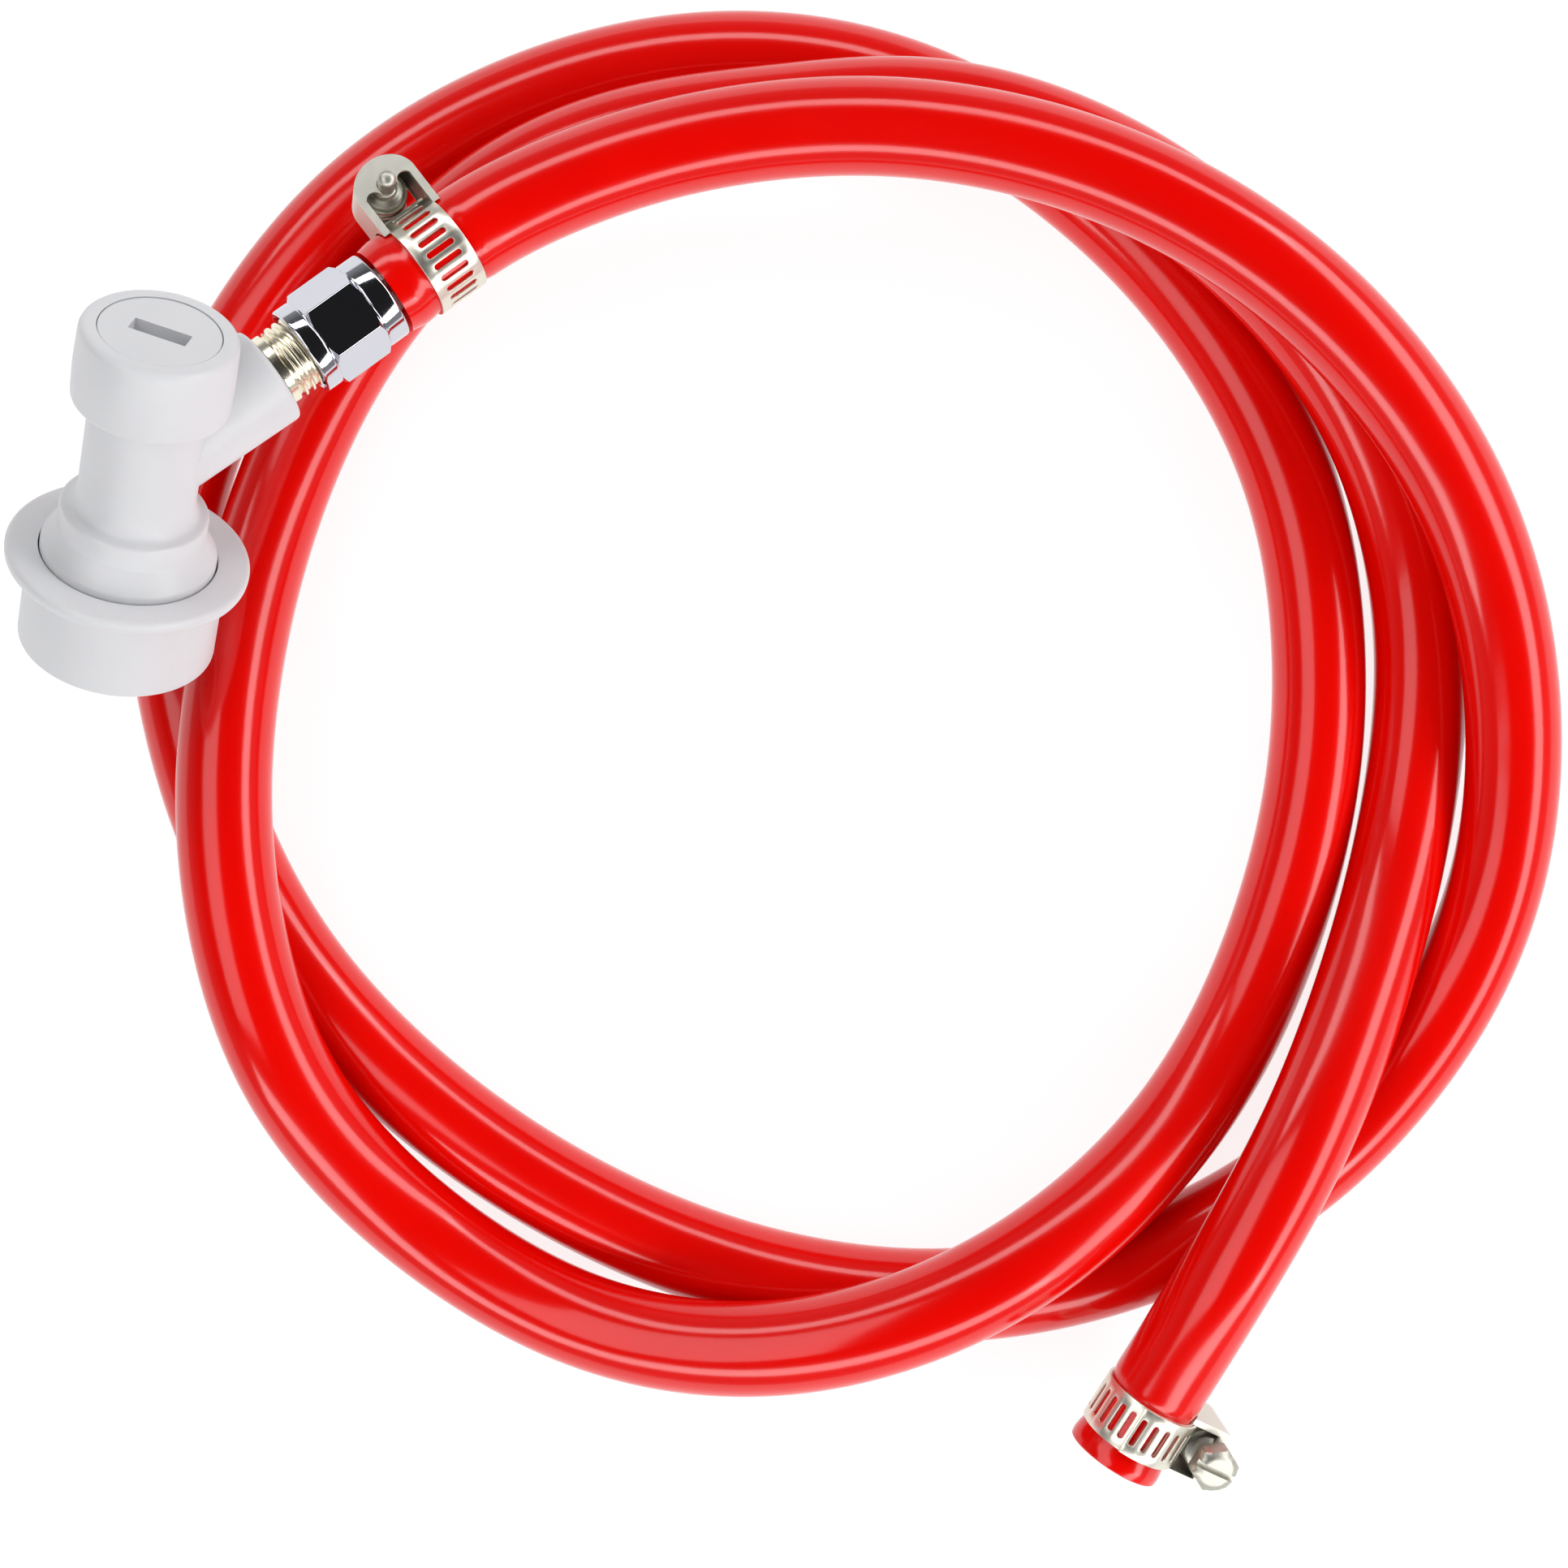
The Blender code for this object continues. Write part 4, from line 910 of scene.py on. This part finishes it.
def head_rows():
    """Rows of the head, from its dished top to the neck."""
    angles = np.arange(HEX_SIDES) * 2 * math.pi / HEX_SIDES
    from_flat = (angles + math.pi / 6) % (math.pi / 3) - math.pi / 6
    hexagon = np.minimum(HEAD_FLATS / np.cos(from_flat), HEAD_CORNERS) * MM
    rows = in_metres([(-8.6, 2.0), (-8.6, 2.5), (-8.45, 2.75)])
    rows += [(-8.1 * MM, np.minimum(hexagon, 3.3 * MM)), (-7.75 * MM, hexagon)]
    rows += [(-5.55 * MM, hexagon), (-5.3 * MM, hexagon - 0.25 * MM)]
    return rows + in_metres([(-5.3, 2.0), (-4.2, 2.0)])


def worm_rows():
    """Rows of the thread, which tapers to the tail, and of the tail."""
    rows = []
    for z, radius in threaded(
        WORM_START * MM, WORM_END * MM, WORM_RADIUS, WORM_DEPTH, WORM_PITCH, HEX_SIDES, 20, 0.25
    ):
        rows.append((z, radius * min(1, 0.48 + 0.24 * (WORM_END - z / MM))))
    rows += in_metres([(3.7, TAIL_RADIUS), (TAIL_END, TAIL_RADIUS)])
    for a in np.linspace(0.1, 1.4, 8):
        rows += in_metres([(TAIL_END + 0.9 * math.sin(a), TAIL_RADIUS * math.cos(a))])
    return rows


def worm(name, place, body):
    """Slotted hex head, worm and tail of one clamp's screw, along its own Z."""
    slot_tool = skin([[(x, y, z * MM) for x, y in SLOT_BOX] for z in (-9.5, -7.4)])
    mesh = cut(bar(head_rows() + worm_rows(), HEX_SIDES), slot_tool)
    node = name.replace("worm", "clamp_screw")
    return add_piece(name, mesh, turned_stainless_and_shade, place, body, [node])


worm("near_worm", near_place @ across, "near_screw")
far_worm = worm("far_worm", far_place @ across, "far_screw")

# %% [markdown]
# ## Inside parts
# The parts inside the socket and the joint are hardly seen, so they keep their engineering
# shapes. Only their finish is changed, to the one of the real material.

# %% Inside parts
INSIDE_FINISH = {
    "valve_pin": moulded_acetal, "pin_gasket": nitrile_rubber, "cap_o_ring": nitrile_rubber,
    "retaining_ring": drawn_stainless, "locking_ball_1": drawn_stainless,
    "locking_ball_2": drawn_stainless, "locking_ball_3": drawn_stainless,
    "flare_washer": white_nylon, "barb_stem": drawn_stainless,
}
for node, finish in INSIDE_FINISH.items():
    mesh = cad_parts[node].data
    for slot in range(len(mesh.materials)):
        mesh.materials[slot] = finish
print("engineering shapes kept:", len(INSIDE_FINISH))

# %% [markdown]
# ## Studio
# The photograph has a plain white ground and soft light from all round, with the darkest
# part straight above, where the camera is. Glossy hose and chrome show this clearly. A pale
# sheet lies under the coil and glows, which keeps it white and the shadows faint. The sky is
# bright near the horizon and dark overhead.

# %% Floor
FLOOR_REACH = 2.0
FLOOR_HEIGHT = -0.3 * MM  # just under the coil, so the two never share a surface
paper, tree, shader = new_finish("white_paper", roughness=0.9, emission_strength=0.85)
shader.inputs["Base Color"].default_value = linear("#808080")
shader.inputs["Emission Color"].default_value = linear("#FFFFFF")
corners = [
    (x * FLOOR_REACH, y * FLOOR_REACH, FLOOR_HEIGHT)
    for x, y in ((-1, -1), (1, -1), (1, 1), (-1, 1))
]
ground = bpy.data.meshes.new("floor")
ground.from_pydata(corners, [], [(0, 1, 2, 3)])
ground.materials.append(paper)
floor = bpy.data.objects.new("floor", ground)
scene.collection.objects.link(floor)

# %% [markdown]
# The sky is a fade from the horizon up, read from the direction in which a ray leaves. Only
# its brightness changes, so it stays white.

# %% Sky
HORIZON_LIGHT, TOP_LIGHT = 0.3, 0.018
FADE_FROM, FADE_TO = math.radians(5), math.radians(35)
world = bpy.data.worlds.new("studio")
world.use_nodes = True
scene.world = world
sky = world.node_tree
direction = add_node(sky, "ShaderNodeTexCoord", {}).outputs["Generated"]
height = add_node(sky, "ShaderNodeSeparateXYZ", {}, {"Vector": direction}).outputs["Z"]
ends = {
    "From Min": math.sin(FADE_FROM), "From Max": math.sin(FADE_TO),
    "To Min": HORIZON_LIGHT, "To Max": TOP_LIGHT,
}
fade = add_node(sky, "ShaderNodeMapRange", ends, {"Value": height})
background = sky.nodes["Background"]
background.inputs["Color"].default_value = linear("#FFFFFF")
sky.links.new(fade.outputs["Result"], background.inputs["Strength"])
print("the horizon is", round(HORIZON_LIGHT / TOP_LIGHT, 1), "times as bright as the sky overhead")

# %% [markdown]
# Four strips of soft light stand round the coil, one on each side. Their edges are what
# draws the long white lines on the hose, so their height and width were set by comparing
# those lines with the photograph's.

# %% Lights
def strip_light(name, azimuth, elevation, distance, width, height, power):
    """A soft strip that looks at the coil, at an azimuth from +X towards +Y."""
    lamp = bpy.data.lights.new(name, "AREA")
    lamp.shape = "RECTANGLE"
    lamp.size, lamp.size_y = width, height
    lamp.energy = power
    turn, rise = math.radians(azimuth), math.radians(elevation)
    out = Vector((
        math.cos(turn) * math.cos(rise), math.sin(turn) * math.cos(rise), math.sin(rise),
    ))
    holder = bpy.data.objects.new(name, lamp)
    holder.location = COIL_CENTRE + out * distance
    holder.rotation_euler = out.to_track_quat("Z", "Y").to_euler()
    scene.collection.objects.link(holder)
    print(f"{name}: {power} W, {elevation} degrees up")


strip_light("right_strip", 0, 32, 0.9, 1.6, 0.30, 7.0)
strip_light("front_strip", -90, 32, 0.9, 1.6, 0.26, 6.6)
strip_light("back_strip", 90, 40, 0.9, 1.6, 0.20, 4.6)
strip_light("left_strip", 180, 60, 0.9, 0.9, 0.5, 3.0)
